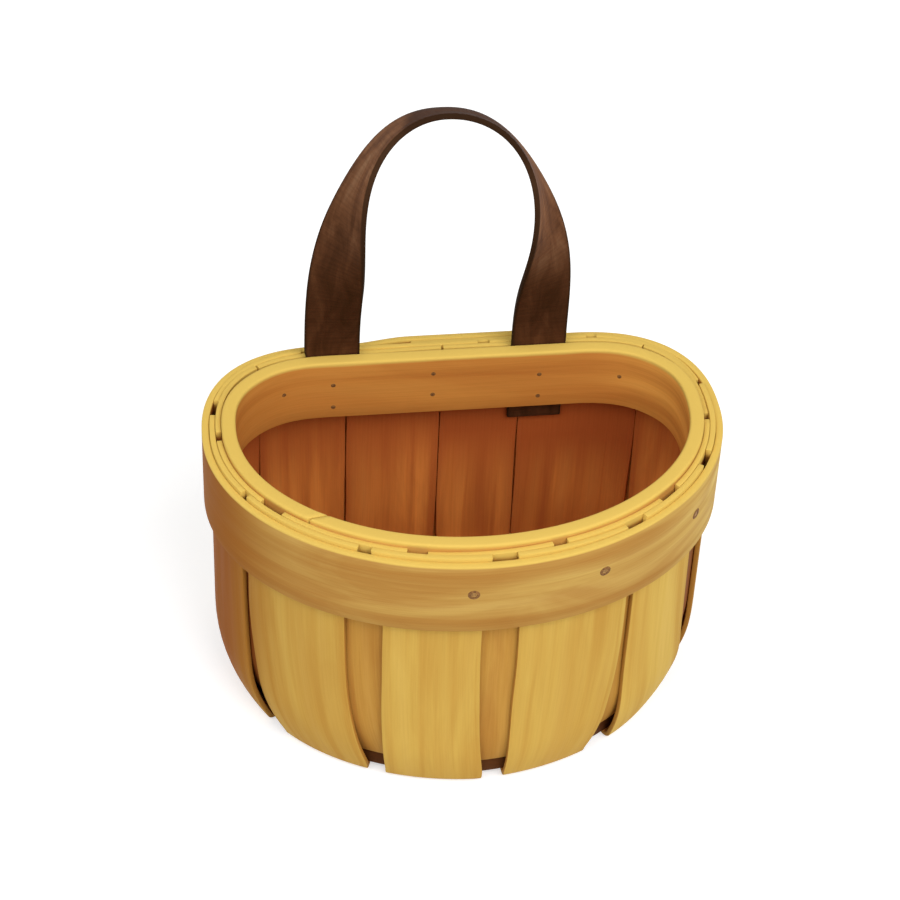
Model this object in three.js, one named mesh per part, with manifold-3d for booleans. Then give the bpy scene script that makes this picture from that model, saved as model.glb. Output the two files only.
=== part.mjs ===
// A half-round wall basket of chip wood: curved staves nailed between two bent hoops,
// a base board, and a leather strap to hang it by.
// Millimetres, +Z up, -Y is the rounded front, +Y is the straight back that lies against the wall.

import * as THREE from 'three';
import Module from 'manifold-3d';

const wasm = await Module();
wasm.setup();

// Driving sizes of the rim, measured on the outer hoop's outer face
const RIM_WIDTH = 185;          // side to side
const FRONT_DEPTH = 72;         // widest line to the front
const BACK_DEPTH = 46.2;        // widest line to the back
const BACK_FLAT = 88;           // straight stretch of the back
const CORNER_POWER = 2.45;      // squareness of the two back corners
const FRONT_STEPS = 30;         // facets along the rounded front
const CORNER_STEPS = 9;         // facets along each back corner
const FLAT_STEPS = 4;           // facets along the straight back

// Heights
const BASKET_HEIGHT = 120;      // floor to the top of the inner hoop
const OUTER_HOOP_DROP = 3.3;    // inner hoop's top down to the outer hoop's top
const STAVE_DROP = 1.9;         // inner hoop's top down to the staves' tops
const OUTER_HOOP_HEIGHT = 31.2;
const INNER_HOOP_HEIGHT = 26;

// Thicknesses of the layers, and the clearance between pieces that touch
const OUTER_HOOP_THICKNESS = 2.5;
const STAVE_THICKNESS = 1.8;
const INNER_HOOP_THICKNESS = 5;
const BOARD_THICKNESS = 6.5;
const GAP = 0.3;
const BOARD_EDGE_GAP = 0.6;     // board's edge to the staves' bend

// The wall's bend at the bottom, measured on the outer staves' outer face
const BELLY_RADIUS = 66;        // slow curve of the lower wall
const FOOT_RADIUS = 4.5;        // tight bend under the board
const FRONT_BELLY_DEG = 13.5;   // how far the slow curve turns at the front and back
const SIDE_BELLY_DEG = 29;      // and at the two sides
const FOOT_LENGTH = 12;         // stave under or over the board
const STRAIGHT_STEPS = 3;       // between the outer hoop and the belly curve
const BELLY_STEPS = 3;
const BEND_STEPS = 3;

// Gaps between neighbouring staves: place as a share of the girth, right of the front centre,
// width under the outer hoop, width at the foot, how far the gap leans to the right on its way
// down, and width at the staves' tops
const OUTER_STAVE_GAPS = [
  [-0.189, 3, 10, 9.5, 3], [-0.0868, 14, 7, 5.2, 5], [0.0114, 13, 8, 1, 9],
  [0.113, 2.6, 12, -5, 8], [0.2, 15, 9, 3, 8], [0.29, 5, 7.5, 0, 4], [0.395, 5, 5, 0, 4],
  [0.475, 5, 5, 0, 4], [0.605, 5, 5, 0, 4], [0.71, 5, 7.5, 4, 8],
];
const INNER_STAVE_GAPS = [
  [-0.165, 15, 5.5, 14, 9], [-0.05, 15.5, 8, 2, 7], [0.053, 10, 7.5, 0, 5],
  [0.152, 15, 8, 0, 9], [0.248, 10, 8, 0, 4], [0.352, 0.8, 4, 0, 0.8],
  [0.506, 0.8, 2, 0, 0.8], [0.649, 0.6, 4, 0, 0.6], [0.744, 12, 8, 0, 4],
];
const STRAP_SEAM_INSET = 5.5;   // two more inner gaps, this far inwards of the strap's feet
const STRAP_SEAM_GAP = 0.8;
const TAPER_POWER = 2.5;        // the gaps change slowly under the hoop and fast at the foot
const TAPER_END = 6;            // height over the foot where they have their foot width
const WIDEST_GAP_SHARE = 0.7;   // a foot keeps at least the rest of its pitch

// The outer hoop's lapped ends at the back, and the inner hoop's scarfed ends at the left front
const LAP_LENGTH = 45;
const LAP_RAMP = 24;            // stretch in which the top end climbs over the under end
const LAP_RAMP_STEPS = 4;
const LAP_START_X = -14;        // under end, to the left of the back's middle
const SCARF_PLACE = -0.133;     // share of the girth
const SCARF_LENGTH = 6;
const HOOP_ROUNDING = 1.2;      // inner hoop's top edges
const CHANNEL_FULL_AT = 0.9;    // how far the rim has turned to the back where the channel is full

// Leather strap
const STRAP_WIDTH = 20;
const STRAP_THICKNESS = 2;
const STRAP_SPAN = 75.5;        // between the middles of its two feet
const STRAP_CENTRE_X = -5.7;
const STRAP_RISE = 101.5;       // crease at the rim up to the middle of the top
const STRAP_LEAN = 1.5;         // the top stands this far behind the crease
const STRAP_BOWS = { left: 14.5, right: 9.5 }; // the legs bow this far towards the front
const STRAP_TWIST_DEG = 119;    // the face turns this far from foot to top
const STRAP_TWIST_POWERS = { left: 1.2, right: 1 }; // over 1, a leg turns later
const STRAP_LEG_POWER = 2.25;   // squareness of the arch, sideways
const STRAP_TOP_POWER = 4;      // and upwards
const STRAP_STEPS = 36;
const STRAP_ROUNDING = [[0.6, 0.8], [0.92, 0.4]]; // leg ends: share of half the thickness, width left
const STRAP_TAILS = { left: 4.5, right: 10 }; // ends that show below the inner hoop

// Nails through the rim and tacks through the base
const NAIL_RADIUS = 0.6;
const NAIL_HEAD_RADIUS = 1.6;
const NAIL_HEAD_HEIGHT = 0.7;
const NAIL_SUNK = 0.2;          // head below the surface
const NAIL_SIDES = 6;
const HOLE_OVERRUN = 1;         // a hole starts this far outside the surface
const NAIL_BITE = 2.6;          // point into the last layer from outside
const BACK_NAIL_BITE = 1.4;     // point into the last layer from inside
const TACK_BITE = 3.4;          // point into the board
const RIM_NAIL_DROP = 16.5;     // all drops are from the inner hoop's top
const RIM_NAIL_PLACES = [-0.292, -0.202, -0.112, -0.01, 0.084, 0.173, 0.268];
const BACK_NAIL_PLACES = [0.368, 0.632];
const BACK_NAIL_DROP = 12;
const LAP_NAIL_X = -7;
const LAP_NAIL_DROPS = [17.5, 7.5];
const STRAP_NAIL_DROPS = [21, 10.5];

// Depths of the layers, inwards from the outer hoop's outer face
const OUTER_STAVE_DEPTH = OUTER_HOOP_THICKNESS + GAP;
const INNER_STAVE_DEPTH = OUTER_STAVE_DEPTH + STAVE_THICKNESS + GAP;
const INNER_HOOP_DEPTH = INNER_STAVE_DEPTH + STAVE_THICKNESS + GAP;
const STRAP_CHANNEL = STRAP_THICKNESS + GAP;
const LAP_RISE = OUTER_HOOP_THICKNESS + GAP;
const STRAP_DEPTH_Y = BACK_DEPTH - INNER_HOOP_DEPTH - STRAP_THICKNESS / 2;

// Heights that follow
const OUTER_HOOP_TOP = BASKET_HEIGHT - OUTER_HOOP_DROP;
const OUTER_HOOP_BOTTOM = OUTER_HOOP_TOP - OUTER_HOOP_HEIGHT;
const INNER_HOOP_BOTTOM = BASKET_HEIGHT - INNER_HOOP_HEIGHT;
const STAVE_TOP = BASKET_HEIGHT - STAVE_DROP;
const BOARD_BOTTOM = STAVE_THICKNESS + GAP;
const INNER_STAVE_LIFT = BOARD_THICKNESS + GAP;
const CREASE_HEIGHT = BASKET_HEIGHT + STRAP_THICKNESS / 2 + GAP;

// Materials
const wood = (color, roughness) => new THREE.MeshStandardMaterial({ color, roughness, metalness: 0 });
const HOOP_WOOD = wood(0xc9a04e, 0.62);
const INNER_HOOP_WOOD = wood(0xdcb85c, 0.58);
const OUTER_STAVE_WOOD = wood(0xc7a24a, 0.6);
const INNER_STAVE_WOOD = wood(0xb0662c, 0.65);
const BOARD_WOOD = wood(0x8f6232, 0.75);
const LEATHER = new THREE.MeshStandardMaterial({ color: 0x4a2c1c, roughness: 0.5, metalness: 0 });
const STEEL = new THREE.MeshStandardMaterial({ color: 0x8a6a42, roughness: 0.4, metalness: 0.9 });

const lerp = (a, b, t) => a + (b - a) * t;
const radians = THREE.MathUtils.degToRad;

// The rim's outline: a half ellipse in front, two rounded corners and a straight back.
// Each piece of it is cut into facets of equal length.
function evenPoints(curve, steps) {
  const FINE = 400;
  const fine = Array.from({ length: FINE + 1 }, (_, i) => curve(i / FINE));
  const travelled = [0];
  for (let i = 1; i <= FINE; i += 1) {
    travelled.push(travelled[i - 1] + fine[i].distanceTo(fine[i - 1]));
  }
  const points = [];
  for (let step = 0; step < steps; step += 1) {
    const target = travelled[FINE] * step / steps;
    let i = 1;
    while (travelled[i] < target) i += 1;
    const part = (target - travelled[i - 1]) / (travelled[i] - travelled[i - 1]);
    points.push(fine[i - 1].clone().lerp(fine[i], part));
  }
  return points;
}

function makeRim() {
  const halfWidth = RIM_WIDTH / 2;
  const halfFlat = BACK_FLAT / 2;
  const front = (t) => new THREE.Vector2(
    Math.sin(t * Math.PI / 2) * halfWidth,
    -Math.cos(t * Math.PI / 2) * FRONT_DEPTH,
  );
  const corner = (t) => new THREE.Vector2(
    halfFlat + (halfWidth - halfFlat) * Math.cos(t * Math.PI / 2) ** (2 / CORNER_POWER),
    BACK_DEPTH * Math.sin(t * Math.PI / 2) ** (2 / CORNER_POWER),
  );
  const back = (t) => new THREE.Vector2(lerp(halfFlat, 0, t), BACK_DEPTH);
  const right = [
    ...evenPoints(front, FRONT_STEPS / 2),
    ...evenPoints(corner, CORNER_STEPS),
    ...evenPoints(back, FLAT_STEPS / 2),
  ];
  const left = right.slice(1).reverse().map((p) => new THREE.Vector2(-p.x, p.y));
  const points = [...right, new THREE.Vector2(0, BACK_DEPTH), ...left];

  const count = points.length;
  const outward = (a, b) => new THREE.Vector2(b.y - a.y, a.x - b.x).normalize();
  const stations = [];
  let girth = 0;
  for (let k = 0; k < count; k += 1) {
    const before = outward(points[(k + count - 1) % count], points[k]);
    const after = outward(points[k], points[(k + 1) % count]);
    const miter = before.clone().add(after).divideScalar(1 + before.dot(after));
    stations.push({ point: points[k], miter, place: girth, side: Math.abs(miter.clone().normalize().x) });
    girth += points[k].distanceTo(points[(k + 1) % count]);
  }
  return { stations, girth };
}

const RIM = makeRim();

// The two stations on either side of a place along the rim, and the share between them
function around(place) {
  const wrapped = ((place % RIM.girth) + RIM.girth) % RIM.girth;
  const count = RIM.stations.length;
  let k = count - 1;
  while (RIM.stations[k].place > wrapped) k -= 1;
  const end = k + 1 < count ? RIM.stations[k + 1].place : RIM.girth;
  const share = (wrapped - RIM.stations[k].place) / (end - RIM.stations[k].place);
  return { a: RIM.stations[k], b: RIM.stations[(k + 1) % count], share };
}

// A point at a place along the rim; where(station) gives its depth inwards and its height
function rimPoint(place, where) {
  const { a, b, share } = around(place);
  const [p, q] = [a, b].map((station) => {
    const [depth, height] = where(station);
    return new THREE.Vector3(
      station.point.x - station.miter.x * depth,
      station.point.y - station.miter.y * depth,
      height,
    );
  });
  return p.lerp(q, share);
}

// Places of the stations that lie strictly between two places, with a little room to each
function stationsBetween(from, to) {
  const MARGIN = 0.4;
  const places = [];
  for (let turn = -2; turn <= 2; turn += 1) {
    for (const station of RIM.stations) {
      const place = station.place + turn * RIM.girth;
      if (place > from + MARGIN && place < to - MARGIN) places.push(place);
    }
  }
  return places.sort((p, q) => p - q);
}

// On the straight back, the place of a point by its X
const backPlace = (x) => RIM.girth / 2 - x;
const strapFeet = { left: STRAP_CENTRE_X - STRAP_SPAN / 2, right: STRAP_CENTRE_X + STRAP_SPAN / 2 };

// A closed mesh from points and triangles, turned so that its faces point out
function solid(points, triangles) {
  const corner = (i) => points[triangles[i]];
  let volume = 0;
  for (let i = 0; i < triangles.length; i += 3) {
    volume += corner(i).dot(new THREE.Vector3().crossVectors(corner(i + 1), corner(i + 2)));
  }
  const index = volume > 0 ? triangles : [...triangles].reverse();
  const geometry = new THREE.BufferGeometry();
  geometry.setAttribute('position', new THREE.Float32BufferAttribute(points.flatMap((p) => p.toArray()), 3));
  geometry.setIndex(index);
  return geometry;
}

// A bar swept through sections that all have the same number of points, capped at both ends
function sweep(sections) {
  const size = sections[0].length;
  const triangles = [];
  for (let i = 0; i + 1 < sections.length; i += 1) {
    for (let j = 0; j < size; j += 1) {
      const [a, b] = [i * size + j, i * size + (j + 1) % size];
      triangles.push(a, b, b + size, a, b + size, a + size);
    }
  }
  const last = (sections.length - 1) * size;
  for (let j = 1; j + 1 < size; j += 1) {
    triangles.push(0, j + 1, j);
    triangles.push(last, last + j, last + j + 1);
  }
  return solid(sections.flat(), triangles);
}

// Booleans, only to drill the nail holes
function toManifold(geometry) {
  return new wasm.Manifold(new wasm.Mesh({
    numProp: 3,
    vertProperties: new Float32Array(geometry.attributes.position.array),
    triVerts: new Uint32Array(geometry.index.array),
  }));
}

function drill(geometry, tools) {
  geometry.computeBoundingBox();
  const near = tools.filter((tool) => tool.boundingBox.intersectsBox(geometry.boundingBox));
  if (near.length === 0) return geometry;
  let body = toManifold(geometry);
  for (const tool of near) body = body.subtract(toManifold(tool));
  const mesh = body.getMesh();
  const drilled = new THREE.BufferGeometry();
  drilled.setAttribute('position', new THREE.BufferAttribute(new Float32Array(mesh.vertProperties), 3));
  drilled.setIndex(Array.from(mesh.triVerts));
  return drilled;
}

// The wall of staves: straight down, a slow belly curve, a tight bend, and a flat foot.
// lift raises the foot, so that inner staves end on top of the board and outer ones below it.
const bellyAngle = (station) => radians(lerp(FRONT_BELLY_DEG, SIDE_BELLY_DEG, station.side));

function bend(station, lift) {
  const angle = bellyAngle(station);
  const across = BELLY_RADIUS - FOOT_RADIUS;
  return {
    angle,
    bellyHeight: lift + FOOT_RADIUS + across * Math.sin(angle),
    footDepth: BELLY_RADIUS - across * Math.cos(angle),
    footHeight: lift + FOOT_RADIUS,
  };
}

// Each row gives the depth and height at a station, for an inset from the outer staves' outer face.
function wallRows(lift) {
  const rows = [(station, inset) => [inset, STAVE_TOP]];
  for (let step = 0; step <= STRAIGHT_STEPS; step += 1) {
    const share = step / STRAIGHT_STEPS;
    rows.push((station, inset) => [inset, lerp(OUTER_HOOP_BOTTOM, bend(station, lift).bellyHeight, share)]);
  }
  for (let step = 1; step <= BELLY_STEPS; step += 1) {
    const share = step / BELLY_STEPS;
    rows.push((station, inset) => {
      const { angle, bellyHeight } = bend(station, lift);
      const radius = BELLY_RADIUS - inset;
      return [
        BELLY_RADIUS - radius * Math.cos(angle * share),
        bellyHeight - radius * Math.sin(angle * share),
      ];
    });
  }
  for (let step = 1; step <= BEND_STEPS; step += 1) {
    const share = step / BEND_STEPS;
    rows.push((station, inset) => {
      const { angle, footDepth, footHeight } = bend(station, lift);
      const turn = lerp(angle, Math.PI / 2, share);
      const radius = FOOT_RADIUS - inset;
      return [footDepth - radius * Math.cos(turn), footHeight - radius * Math.sin(turn)];
    });
  }
  rows.push((station, inset) => {
    const { footDepth, footHeight } = bend(station, lift);
    return [footDepth + FOOT_LENGTH, footHeight - FOOT_RADIUS + inset];
  });
  return rows;
}

const wallPoint = (place, row, inset) => rimPoint(place, (station) => {
  const [depth, height] = row(station, inset);
  return [OUTER_STAVE_DEPTH + depth, height];
});

// How much shorter a row is than the rim, near a place
function shrink(place, row, inset) {
  const STEP = 6;
  const ends = [-STEP, STEP].map((offset) => wallPoint(place + offset, row, inset));
  return ends[0].distanceTo(ends[1]) / (2 * STEP);
}

// How far a gap has gone from its rim width to its foot width and lean, at a height
function taper(height, lift) {
  const end = lift + TAPER_END;
  const share = THREE.MathUtils.clamp((OUTER_HOOP_BOTTOM - height) / (OUTER_HOOP_BOTTOM - end), 0, 1);
  return share ** TAPER_POWER;
}

// How far a gap has gone from its width under the outer hoop to its width at the staves' tops
function widening(height) {
  return THREE.MathUtils.clamp((height - OUTER_HOOP_BOTTOM) / (STAVE_TOP - OUTER_HOOP_BOTTOM), 0, 1);
}

// One stave between two gaps; its edges follow the gaps as they change from rim to foot
function staveGeometry(leftGap, rightGap, inset, lift) {
  const rows = wallRows(lift);
  const pitch = rightGap.place - leftGap.place;
  const edge = (gap, row, side) => {
    const height = wallPoint(gap.place, row, inset).z;
    const down = taper(height, lift);
    const place = gap.place + gap.lean * down;
    const real = lerp(lerp(gap.width, gap.foot, down), gap.top, widening(height));
    const wide = Math.min(real / shrink(place, row, inset), pitch * WIDEST_GAP_SHARE);
    return place + side * wide / 2;
  };
  const inner = stationsBetween(
    leftGap.place + Math.min(leftGap.width, leftGap.top) / 2,
    rightGap.place - Math.min(rightGap.width, rightGap.top) / 2,
  );
  const count = inner.length + 2;
  const LEAST = 0.5;
  const grid = rows.map((row) => {
    const left = edge(leftGap, row, 1);
    const right = edge(rightGap, row, -1);
    return Array.from({ length: count }, (_, c) => {
      const wanted = c === 0 ? left : c === count - 1 ? right : inner[c - 1];
      return Math.min(Math.max(wanted, left + LEAST * c), right - LEAST * (count - 1 - c));
    });
  });
  const sections = rows.map((row, i) => [
    ...grid[i].map((place) => wallPoint(place, row, inset)),
    ...grid[i].map((place) => wallPoint(place, row, inset + STAVE_THICKNESS)).reverse(),
  ]);
  return staveShell(sections, count);
}

// A sheet's sections: its outer face left to right, then its inner face right to left
function staveShell(sections, count) {
  const size = 2 * count;
  const triangles = [];
  for (let i = 0; i + 1 < sections.length; i += 1) {
    for (let j = 0; j < size; j += 1) {
      const [a, b] = [i * size + j, i * size + (j + 1) % size];
      triangles.push(a, b, b + size, a, b + size, a + size);
    }
  }
  for (const [start, turned] of [[0, true], [(sections.length - 1) * size, false]]) {
    for (let c = 0; c + 1 < count; c += 1) {
      const quad = [start + c, start + c + 1, start + size - 2 - c, start + size - 1 - c];
      const [a, b, d, e] = turned ? quad.reverse() : quad;
      triangles.push(a, b, d, a, d, e);
    }
  }
  return solid(sections.flat(), triangles);
}

const gapsAt = (list) => list.map(([share, width, foot, lean, top]) => (
  { place: share * RIM.girth, width, foot, lean, top }
));

function staves(gaps, inset, lift) {
  return gaps.map((gap, i) => {
    const next = i + 1 < gaps.length ? gaps[i + 1] : { ...gaps[0], place: gaps[0].place + RIM.girth };
    return { left: gap, right: next, geometry: staveGeometry(gap, next, inset, lift) };
  });
}

// The outer hoop: one strip round the rim whose top end climbs over its under end at the back.
// Its place runs backwards, from the under end past the right side to the front and the left.
function outerHoopGeometry() {
  const start = backPlace(LAP_START_X);
  const end = start - RIM.girth - LAP_LENGTH;
  const rampTop = start - RIM.girth + GAP;
  const rampFoot = rampTop + LAP_RAMP;
  const rise = (place) => LAP_RISE * THREE.MathUtils.smoothstep(-place, -rampFoot, -rampTop);
  const rampStep = (rampTop - rampFoot) / LAP_RAMP_STEPS;
  const ramp = Array.from({ length: LAP_RAMP_STEPS + 1 }, (_, i) => rampFoot + rampStep * i);
  const APART = 1;
  const between = stationsBetween(end, start)
    .filter((place) => ramp.every((other) => Math.abs(other - place) > APART));
  const places = [start, ...between, ...ramp, end].sort((p, q) => q - p);
  return sweep(places.map((place) => {
    const depth = -rise(place);
    return [
      [depth, OUTER_HOOP_BOTTOM],
      [depth, OUTER_HOOP_TOP],
      [depth + OUTER_HOOP_THICKNESS, OUTER_HOOP_TOP],
      [depth + OUTER_HOOP_THICKNESS, OUTER_HOOP_BOTTOM],
    ].map((where) => rimPoint(place, () => where));
  }));
}

// The inner hoop stands off the staves along the back, where the strap ends go between.
const channel = (station) => STRAP_CHANNEL
  * THREE.MathUtils.smoothstep(station.miter.y, 0, CHANNEL_FULL_AT);

function innerHoopGeometry() {
  const first = RIM.stations.length + Math.round(SCARF_PLACE * RIM.stations.length);
  const start = RIM.stations[first].place + GAP;
  const end = start + RIM.girth;
  const places = [start, ...stationsBetween(start + SCARF_LENGTH, end - GAP), end];
  const thickness = INNER_HOOP_THICKNESS;
  const top = BASKET_HEIGHT;
  const profile = [
    [0, INNER_HOOP_BOTTOM], [0, top - HOOP_ROUNDING], [HOOP_ROUNDING, top],
    [thickness - HOOP_ROUNDING, top], [thickness, top - HOOP_ROUNDING], [thickness, INNER_HOOP_BOTTOM],
  ];
  return sweep(places.map((place, i) => profile.map(([depth, height]) => {
    const scarf = i === 0 || i === places.length - 1 ? SCARF_LENGTH * depth / thickness : 0;
    const clear = i === places.length - 1 ? -2 * GAP : 0;
    return rimPoint(
      place + scarf + clear,
      (station) => [INNER_HOOP_DEPTH + channel(station) + depth, height],
    );
  })));
}

// The base board lies on the outer staves' feet, inside their bend
function boardGeometry() {
  const radius = FOOT_RADIUS - STAVE_THICKNESS;
  const inBend = Math.sqrt(radius ** 2 - (radius - GAP) ** 2);
  const outline = RIM.stations.map((station) => {
    const depth = OUTER_STAVE_DEPTH + bend(station, 0).footDepth - inBend + BOARD_EDGE_GAP;
    return station.point.clone().addScaledVector(station.miter, -depth);
  });
  const board = new THREE.ExtrudeGeometry(
    new THREE.Shape(outline),
    { depth: BOARD_THICKNESS, bevelEnabled: false },
  );
  board.translate(0, 0, BOARD_BOTTOM);
  return welded(board);
}

// Shared corners, so that a library shape can be drilled
function welded(geometry) {
  const points = [];
  const seen = new Map();
  const position = geometry.attributes.position;
  const order = geometry.index ? geometry.index.array : Array.from({ length: position.count }, (_, i) => i);
  const triangles = [];
  for (const i of order) {
    const point = new THREE.Vector3().fromBufferAttribute(position, i);
    const key = point.toArray().map((value) => Math.round(value * 1e4)).join(' ');
    if (!seen.has(key)) seen.set(key, points.push(point) - 1);
    triangles.push(seen.get(key));
  }
  const clean = [];
  for (let i = 0; i < triangles.length; i += 3) {
    const [a, b, c] = triangles.slice(i, i + 3);
    if (a !== b && b !== c && c !== a) clean.push(a, b, c);
  }
  return solid(points, clean);
}

const legAt = (share) => (share < 0.5 ? 'left' : 'right');

// The strap's arch, from its left crease to its right one
function strapFrames() {
  const FINE = 600;
  const arch = (t) => {
    const angle = Math.PI * t;
    const across = Math.abs(Math.cos(angle)) ** (2 / STRAP_LEG_POWER) * Math.sign(Math.cos(angle));
    return new THREE.Vector2(
      -STRAP_SPAN / 2 * across,
      STRAP_RISE * Math.sin(angle) ** (2 / STRAP_TOP_POWER),
    );
  };
  const fine = Array.from({ length: FINE + 1 }, (_, i) => arch(i / FINE));
  fine[FINE].set(STRAP_SPAN / 2, 0);
  const travelled = [0];
  for (let i = 1; i <= FINE; i += 1) {
    travelled.push(travelled[i - 1] + fine[i].distanceTo(fine[i - 1]));
  }
  const at = (share) => {
    const target = travelled[FINE] * share;
    let i = 1;
    while (i < FINE && travelled[i] < target) i += 1;
    const part = (target - travelled[i - 1]) / (travelled[i] - travelled[i - 1]);
    const flat = fine[i - 1].clone().lerp(fine[i], part);
    const up = 1 - Math.abs(2 * share - 1);
    const bow = STRAP_BOWS[legAt(share)] * Math.sin(Math.PI * up) ** 2;
    const back = STRAP_LEAN * THREE.MathUtils.smoothstep(up, 0, 1) - bow;
    return new THREE.Vector3(STRAP_CENTRE_X + flat.x, STRAP_DEPTH_Y + back, CREASE_HEIGHT + flat.y);
  };
  return Array.from({ length: STRAP_STEPS + 1 }, (_, i) => {
    const share = i / STRAP_STEPS;
    const centre = at(share);
    const NEAR = 0.002;
    const along = at(Math.min(share + NEAR, 1)).sub(at(Math.max(share - NEAR, 0))).normalize();
    if (i === 0) along.set(0, 0, 1);
    if (i === STRAP_STEPS) along.set(0, 0, -1);
    const up = 1 - Math.abs(2 * share - 1);
    const turned = up ** STRAP_TWIST_POWERS[legAt(share)];
    const turn = radians(STRAP_TWIST_DEG) * (1 - Math.cos(Math.PI * turned)) / 2;
    const outward = new THREE.Vector3(-along.z, 0, along.x).normalize();
    const face = new THREE.Vector3(0, -Math.cos(turn), 0).addScaledVector(outward, Math.sin(turn));
    face.addScaledVector(along, -face.dot(along)).normalize();
    const across = new THREE.Vector3().crossVectors(face, along);
    return { centre, along, face, across };
  });
}

function strapSection({ centre, face, across }, thickness) {
  const corners = [[-1, -1], [1, -1], [1, 1], [-1, 1]];
  return corners.map(([side, front]) => centre.clone()
    .addScaledVector(across, side * STRAP_WIDTH / 2)
    .addScaledVector(face, front * thickness / 2));
}

// Each leg ends in a half round about the crease line, so that it can fold there
function strapArchGeometry() {
  const frames = strapFrames();
  const tip = (frame, sign) => STRAP_ROUNDING.map(([out, width]) => {
    const centre = frame.centre.clone().addScaledVector(frame.along, sign * out * STRAP_THICKNESS / 2);
    return strapSection({ ...frame, centre }, STRAP_THICKNESS * width);
  });
  return sweep([
    ...tip(frames[0], -1).reverse(),
    ...frames.map((frame) => strapSection(frame, STRAP_THICKNESS)),
    ...tip(frames[STRAP_STEPS], 1),
  ]);
}

// A strap end, held between the inner hoop and the inner staves
function strapEndGeometry(middleX, tail) {
  const middle = backPlace(middleX);
  const [from, to] = [middle - STRAP_WIDTH / 2, middle + STRAP_WIDTH / 2];
  const places = [from, ...stationsBetween(from, to), to];
  const top = CREASE_HEIGHT - STRAP_THICKNESS / 2 - GAP;
  const bottom = INNER_HOOP_BOTTOM - tail;
  const depths = [INNER_HOOP_DEPTH, INNER_HOOP_DEPTH + STRAP_THICKNESS];
  return sweep(places.map((place) => [
    [depths[0], bottom], [depths[0], top], [depths[1], top], [depths[1], bottom],
  ].map((where) => rimPoint(place, () => where))));
}

// A nail as a turned shape on +Z from its head's top, and the hole that clears it
function nailShape(length, clearance) {
  const head = NAIL_HEAD_RADIUS + clearance;
  const shank = NAIL_RADIUS + clearance;
  const top = clearance > 0 ? -HOLE_OVERRUN : NAIL_SUNK;
  const shoulder = NAIL_SUNK + NAIL_HEAD_HEIGHT + clearance;
  const tip = length + clearance;
  const profile = [[0, top], [head, top], [head, shoulder], [shank, shoulder], [shank, tip], [0, tip]];
  const lathe = new THREE.LatheGeometry(profile.map(([r, z]) => new THREE.Vector2(r, z)), NAIL_SIDES);
  lathe.rotateX(Math.PI / 2);
  return welded(lathe);
}

// Turns a nail's +Z to a direction and moves its start to a point
function placed(geometry, start, direction) {
  const turn = new THREE.Quaternion().setFromUnitVectors(new THREE.Vector3(0, 0, 1), direction);
  const moved = geometry.clone();
  moved.applyQuaternion(turn);
  moved.translate(start.x, start.y, start.z);
  moved.computeBoundingBox();
  return moved;
}

function nail(name, start, direction, length) {
  return {
    name,
    geometry: placed(nailShape(length, 0), start, direction),
    hole: placed(nailShape(length, GAP), start, direction),
  };
}

// A nail through the rim, a drop below its top, driven from outside or from inside the basket
function rimNail(name, place, drop, fromInside, last) {
  const height = BASKET_HEIGHT - drop;
  const innerFace = (station) => INNER_HOOP_DEPTH + channel(station) + INNER_HOOP_THICKNESS;
  const outside = rimPoint(place, () => [0, height]);
  const inside = rimPoint(place, (station) => [innerFace(station), height]);
  const inward = inside.clone().sub(outside);
  const through = inward.length();
  inward.normalize();
  if (fromInside) return nail(name, inside, inward.clone().negate(), through - OUTER_HOOP_THICKNESS + last);
  return nail(name, outside, inward, through - INNER_HOOP_THICKNESS + last);
}

function rimNails() {
  const nails = RIM_NAIL_PLACES.map((share, i) => rimNail(
    `rim_nail_${i + 1}`, share * RIM.girth, RIM_NAIL_DROP, false, NAIL_BITE,
  ));
  BACK_NAIL_PLACES.forEach((share, i) => nails.push(rimNail(
    `back_nail_${['right', 'left'][i]}`, share * RIM.girth, BACK_NAIL_DROP, true, BACK_NAIL_BITE,
  )));
  LAP_NAIL_DROPS.forEach((drop, i) => nails.push(rimNail(
    `lap_nail_${['lower', 'upper'][i]}`, backPlace(LAP_NAIL_X), drop, true, LAP_RISE + BACK_NAIL_BITE,
  )));
  for (const [side, x] of Object.entries(strapFeet)) {
    STRAP_NAIL_DROPS.forEach((drop, i) => nails.push(rimNail(
      `strap_nail_${side}_${['lower', 'upper'][i]}`, backPlace(x), drop, true, BACK_NAIL_BITE,
    )));
  }
  return nails;
}

// A tack from below through each outer stave's foot into the board
function baseTacks(outerStaves) {
  const up = new THREE.Vector3(0, 0, 1);
  return outerStaves.map(({ left, right }, i) => {
    const middle = (left.place + left.lean + right.place + right.lean) / 2;
    const start = rimPoint(middle, (station) => [
      OUTER_STAVE_DEPTH + bend(station, 0).footDepth + FOOT_LENGTH / 2, 0,
    ]);
    return nail(`base_tack_${i + 1}`, start, up, BOARD_BOTTOM + TACK_BITE);
  });
}

// The whole basket, moved so that the origin is under the middle of its box
const basket = new THREE.Group();

function add(name, geometry, material) {
  const mesh = new THREE.Mesh(geometry, material);
  mesh.name = name;
  basket.add(mesh);
}

const strapSeams = [strapFeet.right - STRAP_SEAM_INSET, strapFeet.left + STRAP_SEAM_INSET]
  .map((x) => (
    { place: backPlace(x), width: STRAP_SEAM_GAP, foot: STRAP_SEAM_GAP, lean: 0, top: STRAP_SEAM_GAP }
  ));
const innerGaps = [...gapsAt(INNER_STAVE_GAPS), ...strapSeams].sort((p, q) => p.place - q.place);
const innerInset = INNER_STAVE_DEPTH - OUTER_STAVE_DEPTH;
const outerStaves = staves(gapsAt(OUTER_STAVE_GAPS), 0, 0);
const innerStaves = staves(innerGaps, innerInset, INNER_STAVE_LIFT);
const nails = rimNails();
const tacks = baseTacks(outerStaves);
const holes = [...nails, ...tacks].map((fastener) => fastener.hole);

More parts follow.
